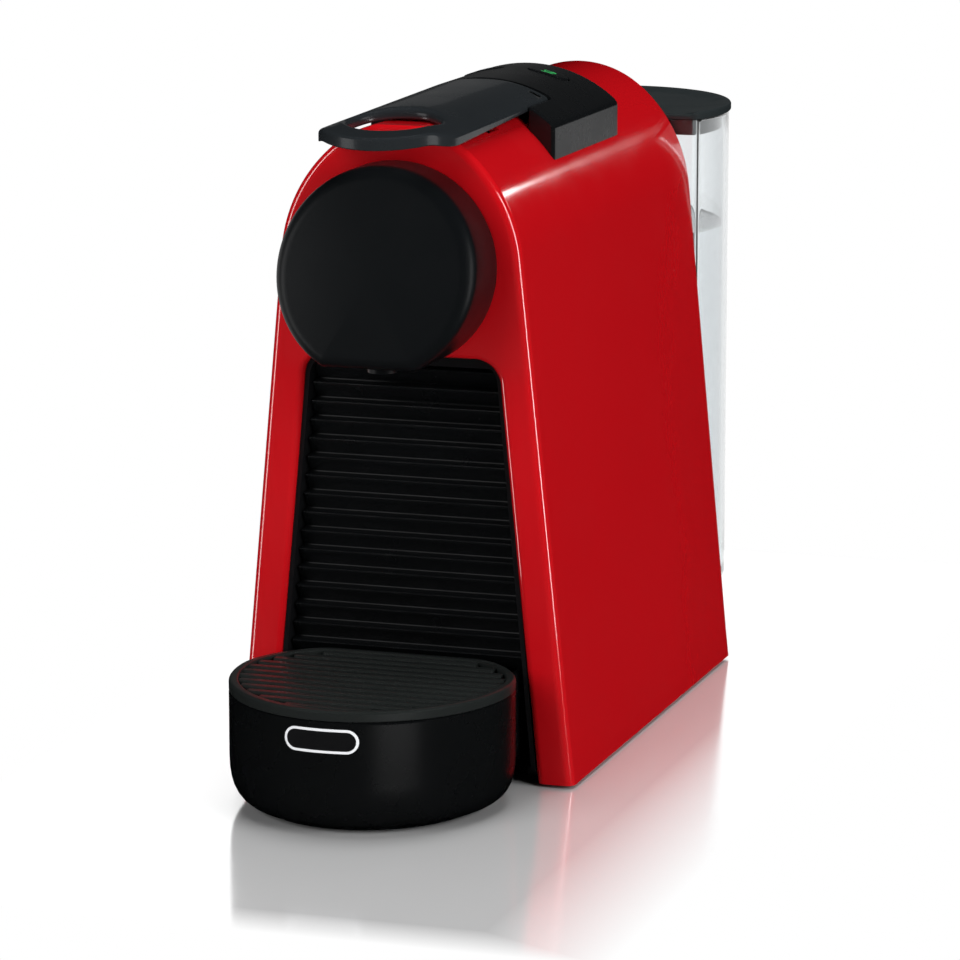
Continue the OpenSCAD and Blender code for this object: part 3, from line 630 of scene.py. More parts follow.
def front_y(z):
    """Depth of the leaning front face at a height."""
    return FRONT - z * math.tan(math.radians(1.1))


def back_y(z):
    """Depth of the leaning back edge at a height."""
    return BACK + z * math.tan(math.radians(0.6))


def crown_z(x):
    """Height of the shell's arch at a distance from the middle."""
    if abs(x) < CROWN_R * math.cos(JOIN_ANGLE):
        return CROWN_Z + math.sqrt(CROWN_R ** 2 - x * x)
    return SHOULDER_Z + math.sqrt(SHOULDER_R ** 2 - (abs(x) - SHOULDER_X) ** 2)


def saddle_z(x, r=TOP_R):
    """Height of the arched top that the lever, console and buttons share."""
    return TOP_Z - TOP_R + math.sqrt(r * r - x * x)


# --- shell ---

def shell_outlines():
    """Matched points (x, z, inward x, inward z) of the arch and of the bay, right foot to left foot."""
    foot = SHELL_FOOT
    reach = math.hypot(foot - SHOULDER_X, SHOULDER_Z)
    lean = math.atan2(-SHOULDER_Z, foot - SHOULDER_X) + math.acos(SHOULDER_R / reach)
    tangent = (SHOULDER_X + SHOULDER_R * math.cos(lean), SHOULDER_Z + SHOULDER_R * math.sin(lean))
    outer, inner = [], []
    side = 16
    for t in frange(0, 1, side)[:-1]:
        outer.append((foot + (tangent[0] - foot) * t, tangent[1] * t, -1 / math.cos(lean), 0.0))
    for k in range(25):
        a = lean + (JOIN_ANGLE - lean) * k / 24
        outer.append((SHOULDER_X + SHOULDER_R * math.cos(a), SHOULDER_Z + SHOULDER_R * math.sin(a),
                      -math.cos(a), -math.sin(a)))
    for k in range(1, 25):
        a = JOIN_ANGLE + (math.pi / 2 - JOIN_ANGLE) * k / 24
        outer.append((CROWN_R * math.cos(a), CROWN_Z + CROWN_R * math.sin(a), -math.cos(a), -math.sin(a)))
    for t in frange(0, 1, side + 5)[:-1]:
        inner.append((BAY_FOOT - BAY_SLOPE * BAY_KNEE * t, BAY_KNEE * t, 1.0, 0.0))
    flat = BAY_TOP - BAY_CORNER
    for a in frange(0, math.pi / 2, 20):
        inner.append((flat + BAY_CORNER * math.cos(a), BAY_KNEE + BAY_CORNER * math.sin(a),
                      math.cos(a), math.sin(a)))
    rest = len(outer) - len(inner)
    for k in range(1, rest + 1):
        inner.append((flat * (1 - k / rest), BAY_KNEE + BAY_CORNER, 0.0, 1.0))

    def both(half):
        return half + [(-x, z, -nx, nz) for x, z, nx, nz in reversed(half[:-1])]
    return both(outer), both(inner)


def build_shell():
    """One skin from the bay's lip over the front, the outside and the back edge to the inner wall."""
    outer, inner = shell_outlines()
    wall, edge, lip, rear, low = 2.6, 2.7, 2.0, 1.2, SHELL_LOW_Z

    def row(curve, inset, y_of):
        """One row of points, a distance in from the outline, kept above the shell's lower end."""
        points = []
        for x, z, nx, nz in curve:
            pz = max(low, z + nz * inset)
            points.append((x + nx * inset, y_of(pz), pz))
        return points

    rows = [row(inner, 0.0, lambda z: front_y(z) + wall)]
    rows += [row(inner, lip * c, lambda z, s=s: front_y(z) + lip * s) for c, s in quarter(5)]
    lip_row, edge_row = rows[-1], row(outer, edge, front_y)
    for t in (0.08, 0.3, 0.5, 0.7, 0.92):
        rows.append([tuple(Vector(a).lerp(Vector(b), t)) for a, b in zip(lip_row, edge_row)])
    rows += [row(outer, edge * c, lambda z, s=s: front_y(z) + edge * s) for c, s in quarter(7)[::-1]]
    for t in frange(0, 1, 12)[1:-1]:
        rows.append(row(outer, 0.0, lambda z, t=t:
                        front_y(z) + edge + (back_y(z) - front_y(z) - edge - rear) * t))
    rows += [row(outer, rear * c, lambda z, s=s: back_y(z) - rear * s) for c, s in quarter(3)]
    for t in (0.0, 0.25, 0.5, 0.75, 1.0):
        rows.append(row(outer, wall, lambda z, t=t: back_y(z) + (front_y(z) + wall - back_y(z)) * t))
    verts, faces = strip(rows, close_rows=True)
    count, points = len(rows), len(rows[0])
    faces.append(tuple(r * points for r in range(count)))
    faces.append(tuple(r * points + points - 1 for r in reversed(range(count))))
    shell = piece("shell_moulding", verts, faces, "red", "chassis", ("shell",))
    head_hole_r, body_half_w, flange_half_w = 23.5, 15.5, 18.7
    cut(shell, cylinder(head_hole_r, -20, 8, (0, 1, 0), (0, FRONT, HEAD_Z), 128),
        block((-body_half_w, FRONT + 8, 180), (body_half_w, FRONT + 90, 206)),
        block((-flange_half_w, FRONT + 25, 181), (flange_half_w, FRONT + 36, 207)),
        block((-SLOT_HALF_W, FRONT + 60, 182), (SLOT_HALF_W, FRONT + 90, 208)),
        block((-SLOT_HALF_W, FRONT - 15, 199.2), (SLOT_HALF_W, FRONT + 9, 206)))


# --- brew head ---

def build_head():
    """The brew head: a slightly domed face that leans back, a soft rim, a side wall and a flat underside."""
    r, cz, floor = 31.0, HEAD_Z, 130.4
    reach = front_y(cz) - 24.2
    tilt = math.tan(math.radians(13))
    half = math.degrees(math.acos((cz - floor) / r))
    loop = arc(0, cz, r, -90 + half, 270 - half, 120)
    x_end = loop[-1][0]
    loop += [(x_end * (1 - 2 * k / 14), floor) for k in range(1, 14)]
    normals = outline_normals(loop)

    def ring(inset, y_of):
        points = []
        for (x, z), n in zip(loop, normals):
            px, pz = x - n.x * inset, z - n.y * inset
            points.append((px, y_of(pz), pz))
        return points

    def face_y(z):
        return reach + (z - cz) * tilt

    def scaled(t, inset, base, dome):
        points = []
        for (x, z), n in zip(loop, normals):
            px, pz = (x - n.x * inset) * t, cz - 2 + (z - n.y * inset - cz + 2) * t
            points.append((px, base + face_y(pz) - dome * (1 - t * t), pz))
        return points

    soft, wall, dome = 4.6, 2.4, 1.6
    rows = [scaled(t, soft, 0.0, dome) for t in (0.02, 0.12, 0.25, 0.4, 0.55, 0.7, 0.85, 0.96)]
    rows += [ring(soft * c, lambda z, s=s: face_y(z) + soft * s) for c, s in quarter(8)[::-1]]
    for t in (0.15, 0.4, 0.7, 0.95):
        rows.append(ring(0.0, lambda z, t=t: (face_y(z) + soft) * (1 - t) + (front_y(z) - 0.1) * t))
    rows.append(ring(0.3, lambda z: front_y(z) - 0.1))
    rows.append(ring(wall, lambda z: front_y(z) - 0.1))
    rows.append(ring(wall, lambda z: face_y(z) + wall))
    rows += [scaled(t, wall, wall, 0.5) for t in (0.8, 0.4, 0.02)]
    head = piece("head_cap", *capped(rows), "head", "chassis", ("head_cover",), 50)
    mid = middle("outlet_nozzle")
    nozzle_hole_r = 4.45
    cut(head, cylinder(nozzle_hole_r, -4, 4, UP, (mid.x, mid.y, floor), 64))


# --- lever and console ---

LEVER_LOW, LEVER_HIGH = box("lever")
HALF = LEVER_HIGH.x
NOSE = LEVER_LOW.y
DROOP_Y, DROOP_R = FRONT + 45, 458.0
HOLE_Y, HOLE_R = FRONT - 7, 14.0
LEVER_FALL = math.tan(math.radians(0.9))


def lever_top(x, y):
    """Height of the lever's top: the shared arch, blended into a long droop towards the nose."""
    fall = TOP_Z if y > DROOP_Y else TOP_Z - DROOP_R + math.sqrt(DROOP_R ** 2 - (y - DROOP_Y) ** 2)
    a, b = saddle_z(min(abs(x), HALF)) - LEVER_FALL * (LEVER_HIGH.y - y), fall
    k = 0.9
    h = max(k - abs(a - b), 0.0) / k
    return min(a, b) - h * h * k / 4


def lever_bottom(x, y):
    """Height of the lever's underside, which is thicker along the middle and towards the nose."""
    t = max(0.0, min(1.0, (-20 - y) / (-20 - NOSE)))
    edge = 1.5 + 2.3 * t
    mid = 3.0 + 0.8 * t
    s = max(0.0, min(1.0, (HALF - abs(x)) / 4.5))
    s = s * s * (3 - 2 * s)
    return lever_top(x, y) - edge - (mid - edge) * s


def build_lever():
    """The lever with a round nose, a finger hole, and a barrel on its hinge pin."""
    rear, r = LEVER_HIGH.y, 1.2
    outline = arc(0, NOSE + HALF, HALF, 180, 360, 56)
    outline += [(HALF, y) for y in frange(NOSE + HALF, rear - r, 26)[1:]]
    outline += arc(HALF - r, rear - r, r, 0, 90, 5)
    outline += [(x, rear) for x in frange(HALF - r, -HALF + r, 22)[1:-1]]
    outline += arc(-HALF + r, rear - r, r, 90, 180, 5)
    outline += [(-HALF, y) for y in frange(rear - r, NOSE + HALF, 26)[1:-1]]
    hole = arc(0, HOLE_Y, HOLE_R, 0, 360, 96)[:-1]
    part = plate(outline, [hole], lever_top, lever_bottom, (0.9, 2.0), (0.5, 0.8), (2.2, 2.4), 6)
    lever = piece("lever_plate", *part, "lever", "lever", ("lever",), 40)
    pin_r, lug_room_r = 1.15, 2.25
    cut(lever, cylinder(pin_r, -20, 20, ACROSS, tuple(HINGE), 48),
        cylinder(lug_room_r, 6.4, 12.0, ACROSS, (0, HINGE.y, HINGE.z), 48),
        cylinder(lug_room_r, -12.0, -6.4, ACROSS, (0, HINGE.y, HINGE.z), 48))
    profile = [(-6.5, pin_r), (-6.5, 2.1), (-6.2, 2.4), (6.2, 2.4), (6.5, 2.1), (6.5, pin_r)]
    barrel = turned(profile, ACROSS, HINGE)
    piece("lever_barrel", *barrel, "lever", "lever")


# Turns a plate drawn in y and z so that its thickness runs along x
SIDEWAYS = Matrix(((0, 0, 1, 0), (1, 0, 0, 0), (0, 1, 0, 0), (0, 0, 0, 1)))


def build_console():
    """The arched console with its button wells, and the tongue and lugs that hold the lever's pin."""
    low, high = box("console")
    slot_y = FRONT + 90
    notch = HINGE.y + 4.65
    side = HALF + 0.3
    corners = [(low.x, low.y), (-side, low.y), (-side, notch), (side, notch), (side, low.y),
               (high.x, low.y), (high.x, high.y), (low.x, high.y)]
    outline = densify(rounded(corners, [1.2, 0.5, 0.3, 0.3, 0.5, 1.2, 2.2, 2.2], 5), 2.0)
    wells = [densify(stadium(s * 10.9, FRONT + 110, 6.7, 3.9), 1.0) for s in (-1, 1)]
    part = plate(outline, wells, lambda x, y: saddle_z(x), lambda x, y: crown_z(x) + 0.03,
                 (0.8, 0.45, 0.45), 0.2, (1.6, 2.6), 5)
    console = piece("console_saddle", *part, "console", "chassis", ("console",), 40)
    cut(console, block((-17, notch - 9, 180), (17, slot_y, 199.4)),
        block((-SLOT_HALF_W, notch - 9, 180), (SLOT_HALF_W, slot_y, 196.4)),
        cylinder(6.4, -side, side, ACROSS, tuple(HINGE), 96))
    base = 190.6
    web = rounded([(HINGE.y - 3.4, base), (slot_y - 0.3, base), (slot_y - 0.3, 199.6), (slot_y - 4, 199.6),
                   (slot_y - 4, 193.4), (HINGE.y - 3.4, 193.4)], [0.6, 0.6, 0.1, 0.1, 1.5, 0.6])
    tongue = placed(plate(web, [], level(12.0), level(-12.0), 0.4, 0.4, (3, 3), 3), SIDEWAYS)
    parts = [tongue]
    for x0, x1 in ((6.8, 11.6), (-11.6, -6.8)):
        lug = [(HINGE.y - 3.4, 193.3), (HINGE.y - 0.7, 193.3), (HINGE.y - 0.7, HINGE.z - 2.0)]
        lug += [(HINGE.y + 1.9 * math.cos(a), HINGE.z + 1.9 * math.sin(a)) for a in frange(-1.1, 3.5, 18)]
        lug += [(HINGE.y - 3.4, HINGE.z - 2.4)]
        parts.append(placed(plate(lug, [], level(x1), level(x0), 0.25, 0.25, (1.5, 1.5), 2), SIDEWAYS))
    piece("console_hinge", *join(*parts), "console", "chassis")


def cup_icon(cx, cy, scale):
    """Loops of a plain cup outline with a handle, seen from the front of the machine."""
    body = rounded([(-1.5, 1.0), (-1.0, -1.0), (1.0, -1.0), (1.5, 1.0)], [0.15, 0.5, 0.5, 0.15], 4)
    inner = rounded([(-1.1, 0.72), (-0.75, -0.7), (0.75, -0.7), (1.1, 0.72)], [0.1, 0.35, 0.35, 0.1], 4)
    line = rounded([(-1.7, -1.75), (1.7, -1.75), (1.7, -1.4), (-1.7, -1.4)], 0.1, 3)
    handle = arc(1.35, 0.15, 0.75, -80, 80, 12) + arc(1.35, 0.15, 0.45, 80, -80, 12)

    def put(loop):
        return [(cx + x * scale, cy + y * scale) for x, y in loop]
    return [(put(body), [put(inner)]), (put(line), []), (put(handle), [])]


def build_buttons():
    """Two oval caps that follow the console's arch, each with a plain cup symbol."""
    for name, look in (("button_left", "icon_dim"), ("button_right", "icon_green")):
        low, high = box(name)
        mid = (low + high) / 2
        outline = densify(stadium(mid.x, mid.y, (high.x - low.x) / 2, (high.y - low.y) / 2), 1.0)
        cap = plate(outline, [], over_arch(0.3), over_arch(-2.2), 0.5, 0.3, (1.2, 1.2), 5)
        piece(name + "_cap", *cap, "console", name, (name,), 40)
        parts = []
        for outer, holes in cup_icon(mid.x, mid.y + 0.2, 1.15):
            parts.append(plate(as_ccw(outer), [as_ccw(h) for h in holes], over_arch(0.345), over_arch(0.2),
                               0.02, 0.01, (1.0, 1.0), 1))
        piece(name + "_icon", *join(*parts), look, name)


def over_arch(lift):
    """A height function that follows the shared arch at a distance."""
    return lambda x, y: saddle_z(x, TOP_R + lift)


# --- drip module ---

TRAY_LOW, TRAY_HIGH = box("cup_grid")
TRAY_W = TRAY_HIGH.x
TRAY_Y = FRONT - 26.2
TRAY_D = TRAY_Y - TRAY_LOW.y
TRAY_REAR = TRAY_HIGH.y
TRAY_BACK = 35.0
TONGUE_W = 36.0
TONGUE_Z = 6.1


def tray_x(y, inset=0.0):
    """Half width of the tray's outline at a depth."""
    depth = (TRAY_D if y <= TRAY_Y else TRAY_BACK) - inset
    return (TRAY_W - inset) * math.sqrt(max(0.0, 1 - ((y - TRAY_Y) / depth) ** 2))


def tray_front(inset=0.0, steps=72):
    """The half ellipse in front of the tray's widest point."""
    return [((TRAY_W - inset) * math.cos(a), TRAY_Y + (TRAY_D - inset) * math.sin(a))
            for a in frange(math.pi, 2 * math.pi, steps)]


def tray_loop(inset=0.0, soft=4.0):
    """The tray's outline: an ellipse in front, a flatter one behind, and a straight rear edge."""
    rear = TRAY_REAR - inset
    depth = TRAY_BACK - inset
    end = math.asin((rear - TRAY_Y) / depth)
    corner = Vector(((TRAY_W - inset) * math.cos(end), rear))
    start = end - soft / 36.0
    right = [((TRAY_W - inset) * math.cos(a), TRAY_Y + depth * math.sin(a)) for a in frange(0, start, 14)[1:]]
    first, last = Vector(right[-1]), corner - Vector((soft, 0))
    right += [tuple(first.lerp(corner, t).lerp(corner.lerp(last, t), t)) for t in frange(0, 1, 8)[1:]]
    flat = [(x, rear) for x in frange(last.x, -last.x, 16)[1:-1]]
    return tray_front(inset) + right + flat + [(-x, y) for x, y in reversed(right)]


def body_loop():
    """Outline of the tray with its tongue, counter-clockwise from the left."""
    rear = box("drip_body")[1].y
    meet = TRAY_Y + TRAY_BACK * math.sqrt(1 - (TONGUE_W / TRAY_W) ** 2)
    right = [(tray_x(y), y) for y in frange(TRAY_Y, meet, 12)[1:]]
    right += [(TONGUE_W, y) for y in frange(meet, rear - 3, 10)[1:]]
    right += arc(TONGUE_W - 3, rear - 3, 3, 0, 90, 5)[1:]
    flat = [(x, rear) for x in frange(TONGUE_W - 3, 3 - TONGUE_W, 12)[1:-1]]
    return tray_front() + right + flat + [(-x, y) for x, y in reversed(right)]


def build_tray():
    """The drip tray: rim, side, soft lower edge, underside, inner wall and floor, with a foot below."""
    top = TRAY_LOW.z - 0.05

    def raised(y, z):
        """Lifts the underside of the tongue clear of the base plate behind the front face."""
        step = min(1.0, max(0.0, (y - FRONT + 7) / 6))
        return z + max(0.0, TONGUE_Z - z) * step * step * (3 - 2 * step)

    def rings(loop, levels, height):
        """Rows of points through (inset, height) levels, which a function of depth may lift."""
        normals = outline_normals(loop)
        return [[(x - n.x * i, y - n.y * i, height(y - n.y * i, z)) for (x, y), n in zip(loop, normals)]
                for i, z in levels]

    side = ((2.2, top - 1.0), (2.0, top - 0.3), (1.5, top), (0.9, top), (0.45, top - 0.12),
            (0.12, top - 0.45), (0.0, top - 0.9), (0.0, 24.0), (0.0, 15.0), (0.15, 11.5), (0.5, 9.0),
            (1.1, 6.8), (2.0, 4.9), (3.2, 3.3), (4.7, 2.1), (6.4, 1.4), (7.6, 1.2))
    outside = rings(body_loop(), side, raised)
    flat, faces = disc_fill([p[:2] for p in outside[-1]], 1.2)
    under = [(x, y, raised(y, z)) for x, y, z in flat], faces
    basin = ((2.2, top - 1.0), (2.2, 15.0), (2.9, 12.0), (4.2, 10.0), (6.2, 8.4))
    within = rings(body_loop(), basin, raised)
    floor = disc_fill([p[:2] for p in within[-1]], 8.4)
    body = join(strip(outside, close_points=True), under, strip(within, close_points=True), floor)
    piece("tray_body", *body, "tray", "drip_module", ("drip_body",), 40)
    sole = ((0.0, 1.8), (0.0, 0.9), (0.15, 0.5), (0.5, 0.3), (1.2, 0.3))
    below = rings(tray_loop(8.3), sole, lambda y, z: z)
    foot = join(strip(below, close_points=True), disc_fill([p[:2] for p in below[-1]], 0.3))
    piece("tray_foot", *foot, "tray", "drip_module")


def build_badge():
    """A blank oval plate with a light rim on the front of the tray."""
    low, high = box("tray_badge")
    half_w, half_h = (high.x - low.x) / 2, (high.z - low.z) / 2
    mid = (low + high) / 2
    outline = densify(stadium(0, mid.z, half_w, half_h), 0.8)

    def front(lift):
        """The tray's front at a distance outwards, as a height function."""
        return lambda x, z: -(TRAY_Y - (TRAY_D + lift) * math.sqrt(1 - (x / (TRAY_W + lift)) ** 2))

    turn = Matrix(((1, 0, 0, 0), (0, 0, -1, 0), (0, 1, 0, 0), (0, 0, 0, 1)))
    rim = plate(outline, [offset_loop(outline, -0.75)], front(0.38), front(0.0), 0.12, 0.01, (0.8, 0.8), 3)
    face = plate(offset_loop(outline, -0.8), [], front(0.22), front(0.0), 0.02, 0.01, (1.5, 1.2), 2)
    piece("badge_rim", *placed(rim, turn), "badge", "drip_module", ("tray_badge",))
    piece("badge_face", *placed(face, turn), "black", "drip_module")


def build_grid():
    """The cup grid: a rim, a row of ribs across, and three thin bars under them."""
    low_z, high_z = TRAY_LOW.z, TRAY_HIGH.z
    parts = [plate(tray_loop(0.0), [tray_loop(3.0)], level(high_z), level(low_z),
                   (1.0, 0.7), 0.35, (2.5, 2.5), 6)]
    pitch, width, rib_h = 5.8, 3.6, high_z - low_z - 1.2
    corners = [(-width / 2, 0), (width / 2, 0), (width / 2, rib_h), (-width / 2, rib_h)]
    section = rounded(corners, [0.3, 0.3, 0.9, 0.9], 4)
    y = TRAY_Y - TRAY_D + 5
    while y < TRAY_REAR - 5:
        half = min(tray_x(y, 2.6), tray_x(y + width, 2.6))
        if half > 4:
            middle = y + width / 2
            parts.append(capped([[(x, middle + a, low_z + 0.8 + b) for a, b in section]
                                 for x in frange(-half, half, 12)]))
        y += pitch
    for x in (-20, 0, 20):
        near_y = TRAY_Y - TRAY_D + 4 + (0 if x == 0 else 5)
        far_y = TRAY_REAR - 3
        bar = rounded([(x - 1, near_y), (x + 1, near_y), (x + 1, far_y), (x - 1, far_y)], 0.4, 3)
        parts.append(plate(bar, [], level(low_z + 1.4), level(low_z), 0.2, 0.1, (2, 5), 2))
    piece("grid_plate", *join(*parts), "grid", "cup_grid", ("cup_grid",))


def build_panel():
    """The louvred front panel: one section of slats, stretched across the bay."""
    low, high = box("front_panel")
    y0, y1 = low.y, high.y
    pitch, gap, plate_y = 5.75, 1.95, y1 - 2.0
    slat = ((plate_y, 0.2), (y0 + 1.0, pitch - 2.3), (y0 + 0.25, pitch - 1.5), (y0, pitch - 1.15),
            (y0 + 0.05, pitch - 0.85), (y0 + 0.35, pitch - 0.62), (y0 + 1.0, pitch - 0.5),
            (plate_y, pitch - 0.1))
    profile = [(plate_y, low.z)]
    count = int((high.z - low.z - 2) // pitch) + 1
    for k in range(count, 0, -1):
        base = high.z - k * pitch
        profile += [(y, base + z) for y, z in slat if base + z > low.z + 0.3]
    profile += [(plate_y, high.z), (y1, high.z), (y1, low.z)]

    def half(z):
        """Half width inside the bay: straight sides that end in a round upper corner."""
        side = BAY_FOOT - BAY_SLOPE * z
        if z > BAY_KNEE - 1:
            rise = max(0.0, z - BAY_KNEE)
            side = min(side, BAY_TOP - BAY_CORNER + math.sqrt(max(0.0, BAY_CORNER ** 2 - rise ** 2)))
        return side - gap
    rows = [[(half(z) * t, y, z) for y, z in profile] for t in frange(-1, 1, 4)]
    piece("louvre_panel", *capped(rows), "louvre", "drip_module", ("front_panel",), 30)


# --- tank ---

TANK_LOW, TANK_HIGH = box("tank")
ROUND_D = 51.0
TANK_FLOOR = 20.0
TANK_WALL = 1.8
WATER_Z = 143.5
LID_REACH = 0.6


def tank_loop(inset, corner=3.0, steps=64):
    """Outline of the tank: a flat front with rounded corners and an elliptic back, counter-clockwise."""
    half_w, depth = TANK_HIGH.x - inset, ROUND_D - inset
    centre = TANK_HIGH.y - ROUND_D
    cut_angle = math.asin((centre - TANK_LOW.y - inset) / depth)
    curve = [Vector((half_w * math.cos(a), centre + depth * math.sin(a)))
             for a in frange(-cut_angle, math.pi + cut_angle, steps)]
    r = max(0.8, corner - inset)
    first = curve[0]
    along = (curve[1] - curve[0]).normalized()
    half = Vector((-1, 0)).angle(along) / 2
    reach = r / math.tan(half)
    centre_pt = first + (Vector((-1, 0)) + along).normalized() * (r / math.sin(half))
    start = first + Vector((-reach, 0)) - centre_pt
    end_angle = start.angle_signed(first + along * reach - centre_pt)
    bend = [centre_pt + Matrix.Rotation(-end_angle * k / 8, 2) @ start for k in range(9)]
    kept = [p for p in curve if p.y > bend[-1].y + 0.3]
    right = [tuple(p) for p in bend]
    left = [(-x, y) for x, y in reversed(right)]
    bottom = [(x, TANK_LOW.y + inset) for x in frange(left[-1][0], right[0][0], 16)[1:-1]]
    return right + [tuple(p) for p in kept] + left + bottom


def build_tank():
    """The clear tank with its spout, and the water in it."""
    z0, z1, wall = TANK_FLOOR, TANK_HIGH.z, TANK_WALL
    outer = [(2.0, z0), (0.6, z0 + 0.35), (0.0, z0 + 1.6)]
    outer += [(0.0, z) for z in frange(z0 + 10, z1 - 0.5, 6)] + [(0.35, z1)]
    inner = [(1.45, z1), (wall, z1 - 0.5)] + [(wall, z) for z in frange(z1 - 8, z0 + 6, 6)]
    inner += [(2.2, z0 + 3.4), (3.6, z0 + 2.4)]
    floors = disc_fill(tank_loop(2.0), z0), disc_fill(tank_loop(3.6), z0 + 2.4)
    skin = join(walls(outer + inner, tank_loop), *floors)
    tank = piece("tank_wall", *skin, "tank", "tank", ("tank",), 40)
    mid = middle("tank_valve")
    axis = (mid.x, mid.y, 0)
    bore, tube = 4.6, 7.0
    cut(tank, cylinder(bore, 10, 30, UP, axis, 48))
    profile = [(15.6, bore), (15.6, tube - 0.4), (16.0, tube), (z0 - 0.05, tube), (z0 - 0.05, bore)]
    piece("tank_spout", *turned(profile, UP, axis, 48), "tank", "tank")
    reach, gap = wall + 0.12, 0.8
    levels = [(3.8, z0 + 2.6), (2.4, z0 + 3.6)] + [(reach, z) for z in frange(z0 + 6, WATER_Z - gap, 6)]
    levels += [(reach, WATER_Z), (3.0, WATER_Z - 0.35), (4.6, WATER_Z - 0.5)]
    top = disc_fill(tank_loop(4.6), WATER_Z - 0.5)
    water = join(walls(levels, tank_loop), disc_fill(tank_loop(3.8), z0 + 2.6), top)
    obj = piece("tank_water", *water, "water", "tank", (), 60)
    cut(obj, cylinder(6.9, 15, 27.4, UP, axis, 48))


def build_lid():
    """The tank's lid: a dished plate with a skirt that fits inside the tank."""
    low, high = box("tank_lid")
    under, foot = high.z - 2.7, low.z
    lid = plate(tank_loop(-LID_REACH, 3.6), [], lid_top, level(high.z - 2.6), 0.9, 0.4, (4, 4), 5)
    skirt = [(2.3, under), (2.3, foot + 0.3), (2.6, foot), (3.5, foot), (3.8, foot + 0.3), (3.8, under)]
    piece("lid_plate", *join(lid, walls(skirt, tank_loop)), "lid", "tank_lid", ("tank_lid",), 40)


def lid_top(x, y):
    """The lid's face sits a little below its raised rim."""
    top = box("tank_lid")[1].z
    centre = TANK_HIGH.y - ROUND_D
    rho = math.hypot(x / (TANK_HIGH.x + LID_REACH), max(0.0, y - centre) / (ROUND_D + LID_REACH))
    dip = max(0.0, min(1.0, (0.9 - rho) / 0.05))
    return top - 0.8 * dip * dip * (3 - 2 * dip)


def build_dock():
    """The dock under the tank: a foot with a socket and a probe, and a bridge to the shell."""
    low, high = box("tank_dock")
    mid = middle("tank_valve")
    axis = (mid.x, mid.y, 0)
    socket_r, probe_r, skin = 8.2, 1.6, 0.4
    socket = arc(mid.x, mid.y, socket_r, 0, 360, 64)[:-1]
    outline = densify(tank_loop(1.2), 4.0)
    foot = plate(outline, [socket], level(high.z), level(low.z), (0.8, 0.4), 0.8, (5, 5), 4)
    profile = [(9.0, 1.7), (9.0, socket_r), (high.z - 0.5, socket_r), (high.z - 0.5, socket_r + skin),
               (8.0, socket_r + skin), (8.0, 1.7)]
    cup = turned(profile, UP, axis)
    profile = [(8.5, 0.05), (8.5, probe_r), (13.4, probe_r), (13.7, 1.3), (13.7, 0.05)]
    probe = turned(profile, UP, axis, 32)
    near_y, far_y = box("rear_cover")[1].y, 94.5
    neck = rounded([(-30, near_y), (30, near_y), (30, far_y), (-30, far_y)], 0.5, 3)
    bridge = plate(neck, [], level(low.z + 15), level(low.z + 3), 0.5, 0.5, (5, 5), 3)
    piece("dock_base", *join(foot, cup, probe, bridge), "black", "chassis", ("tank_dock",), 40)


# --- assembly ---

def plain_emission(name, colour, strength):
    """A faintly lit plastic for the button symbols."""
    n = Nodes(name)
    n.set(Base_Color=n.mix(n.ramp(n.noise(900.0), 0.0, 1.0), colour, tuple(c * 0.85 for c in colour)))
    n.set(Emission_Color=(*colour, 1.0), Emission_Strength=strength, Roughness=0.4)
    return n.mat


MATERIALS["icon_green"] = plain_emission("icon_green", (0.03, 0.30, 0.08), 0.5)
MATERIALS["icon_dim"] = plain_emission("icon_dim", (0.10, 0.11, 0.12), 0.05)


def glow(name, strength):
    """Plain light with no surface of its own."""
    mat = bpy.data.materials.new(name)
    mat.use_nodes = True
    tree = mat.node_tree
    tree.nodes.remove(tree.nodes["Principled BSDF"])
    node = tree.nodes.new("ShaderNodeEmission")
    node.inputs["Strength"].default_value = strength
    tree.links.new(node.outputs["Emission"], tree.nodes["Material Output"].inputs["Surface"])
    return mat


def add_stage():
    """A polished white table top, and a white dome that lights only the table and the clear tank."""
    bm = bmesh.new()
    bmesh.ops.create_grid(bm, x_segments=12, y_segments=12, size=6.0)
    floor = stage_piece("floor", bm, floor_material())
    floor.visible_glossy = False
    floor.visible_shadow = False
    bm = bmesh.new()
    bmesh.ops.create_uvsphere(bm, u_segments=48, v_segments=24, radius=8.0)
    dome = stage_piece("dome", bm, glow("dome_white", 1.2))
    dome.visible_diffuse = False
    dome.visible_shadow = False
    lit = bpy.data.collections.new("dome_lit")
    for obj in (floor, bpy.data.objects["tank_wall"], bpy.data.objects["tank_water"]):
        lit.objects.link(obj)
    dome.light_linking.receiver_collection = lit


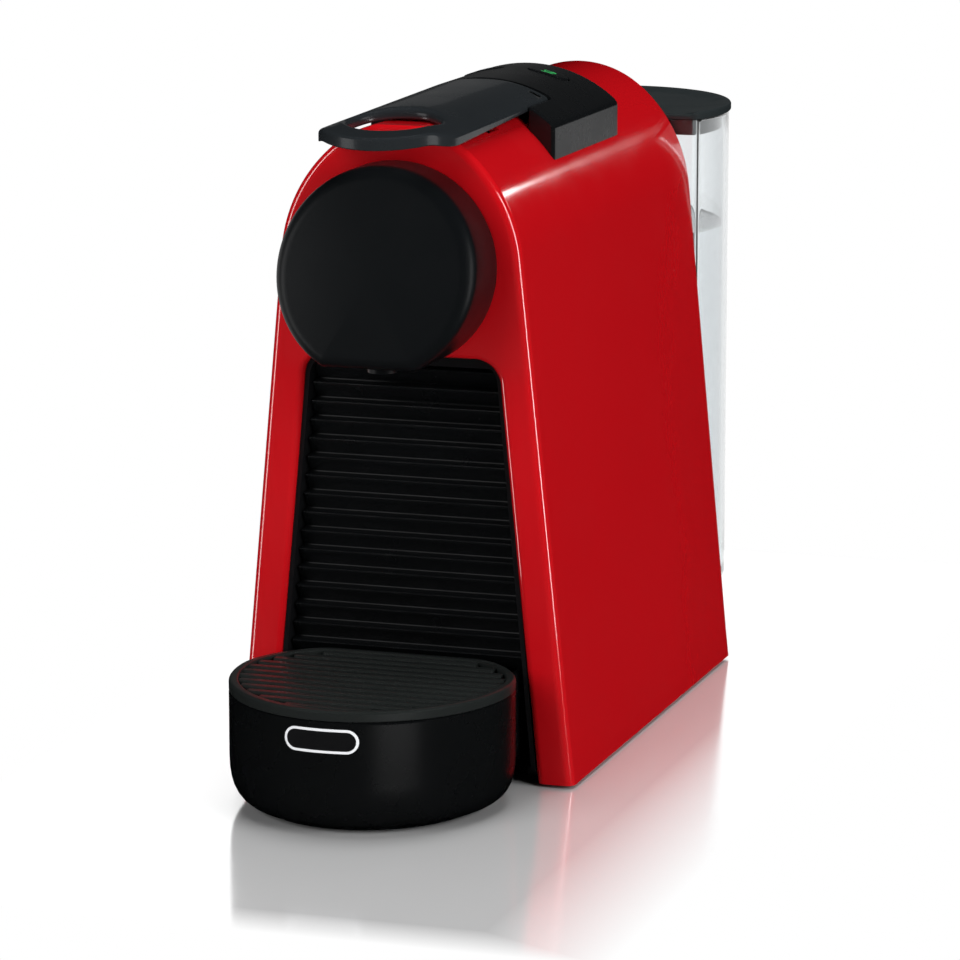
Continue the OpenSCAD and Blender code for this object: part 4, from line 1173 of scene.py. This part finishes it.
def stage_piece(name, bm, material):
    """A mesh that belongs to the studio and not to the object."""
    mesh = bpy.data.meshes.new(name)
    bm.to_mesh(mesh)
    bm.free()
    mesh.materials.append(material)
    obj = bpy.data.objects.new(name, mesh)
    bpy.context.collection.objects.link(obj)
    return obj


def dress_cad():
    """Gives every CAD node that stays its material."""
    for look, nodes in CARRIED.items():
        for node in nodes:
            materials = frame["nodes"][node].data.materials
            materials.clear()
            materials.append(MATERIALS[look])


add_camera()
add_world(0.01)
bpy.context.scene.view_settings.view_transform = "Standard"
dress_cad()
build_shell()
build_head()
build_lever()
build_console()
build_buttons()
build_tray()
build_badge()
build_grid()
build_panel()
build_tank()
build_lid()
build_dock()
add_stage()
add_light("fill_front", (1.4, 1.4), 34.0, (-0.9, -1.9, 1.0))
add_light("fill_right", (1.4, 1.4), 50.0, (2.0, -0.8, 0.9))
add_light("fill_top", (1.4, 1.4), 44.0, (0.0, 0.3, 2.2))
add_light("strip_left", (0.3, 1.2), 8.0, (-1.15, -0.65, 0.2), ("red",))
add_light("strip_right", (0.2, 1.1), 11.0, (1.31, -0.37, 0.40), ("red",))
add_light("strip_back", (0.7, 0.07), 1.15, (1.25, 3.0, 0.87), ("red",))
add_light("soft_left", (0.6, 1.0), 2.0, (-1.1, -0.9, 0.25), ("head", "lever"))
add_light("soft_right", (0.5, 1.0), 1.8, (1.35, -0.1, 0.25), ("head", "lever"))
add_light("soft_rim", (1.8, 1.0), 2.5, (-1.15, 0.5, -0.05), ("head",))
add_light("soft_top", (2.0, 0.7), 0.4, (-1.0, 3.0, 0.62), ("lever", "console", "lid", "grid"), 0.15)
add_light("soft_back", (2.0, 1.2), 2.6, (1.0, 3.0, -0.5), ("console", "lever"), 0.15)
add_light("soft_low", (0.9, 0.4), 0.8, (1.05, -1.2, -0.15), ("tray", "grid", "louvre"), 0.08)
add_light("soft_bay", (0.8, 0.8), 8.0, (-0.6, -1.6, 1.0), ("louvre",))

bpy.context.view_layer.update()
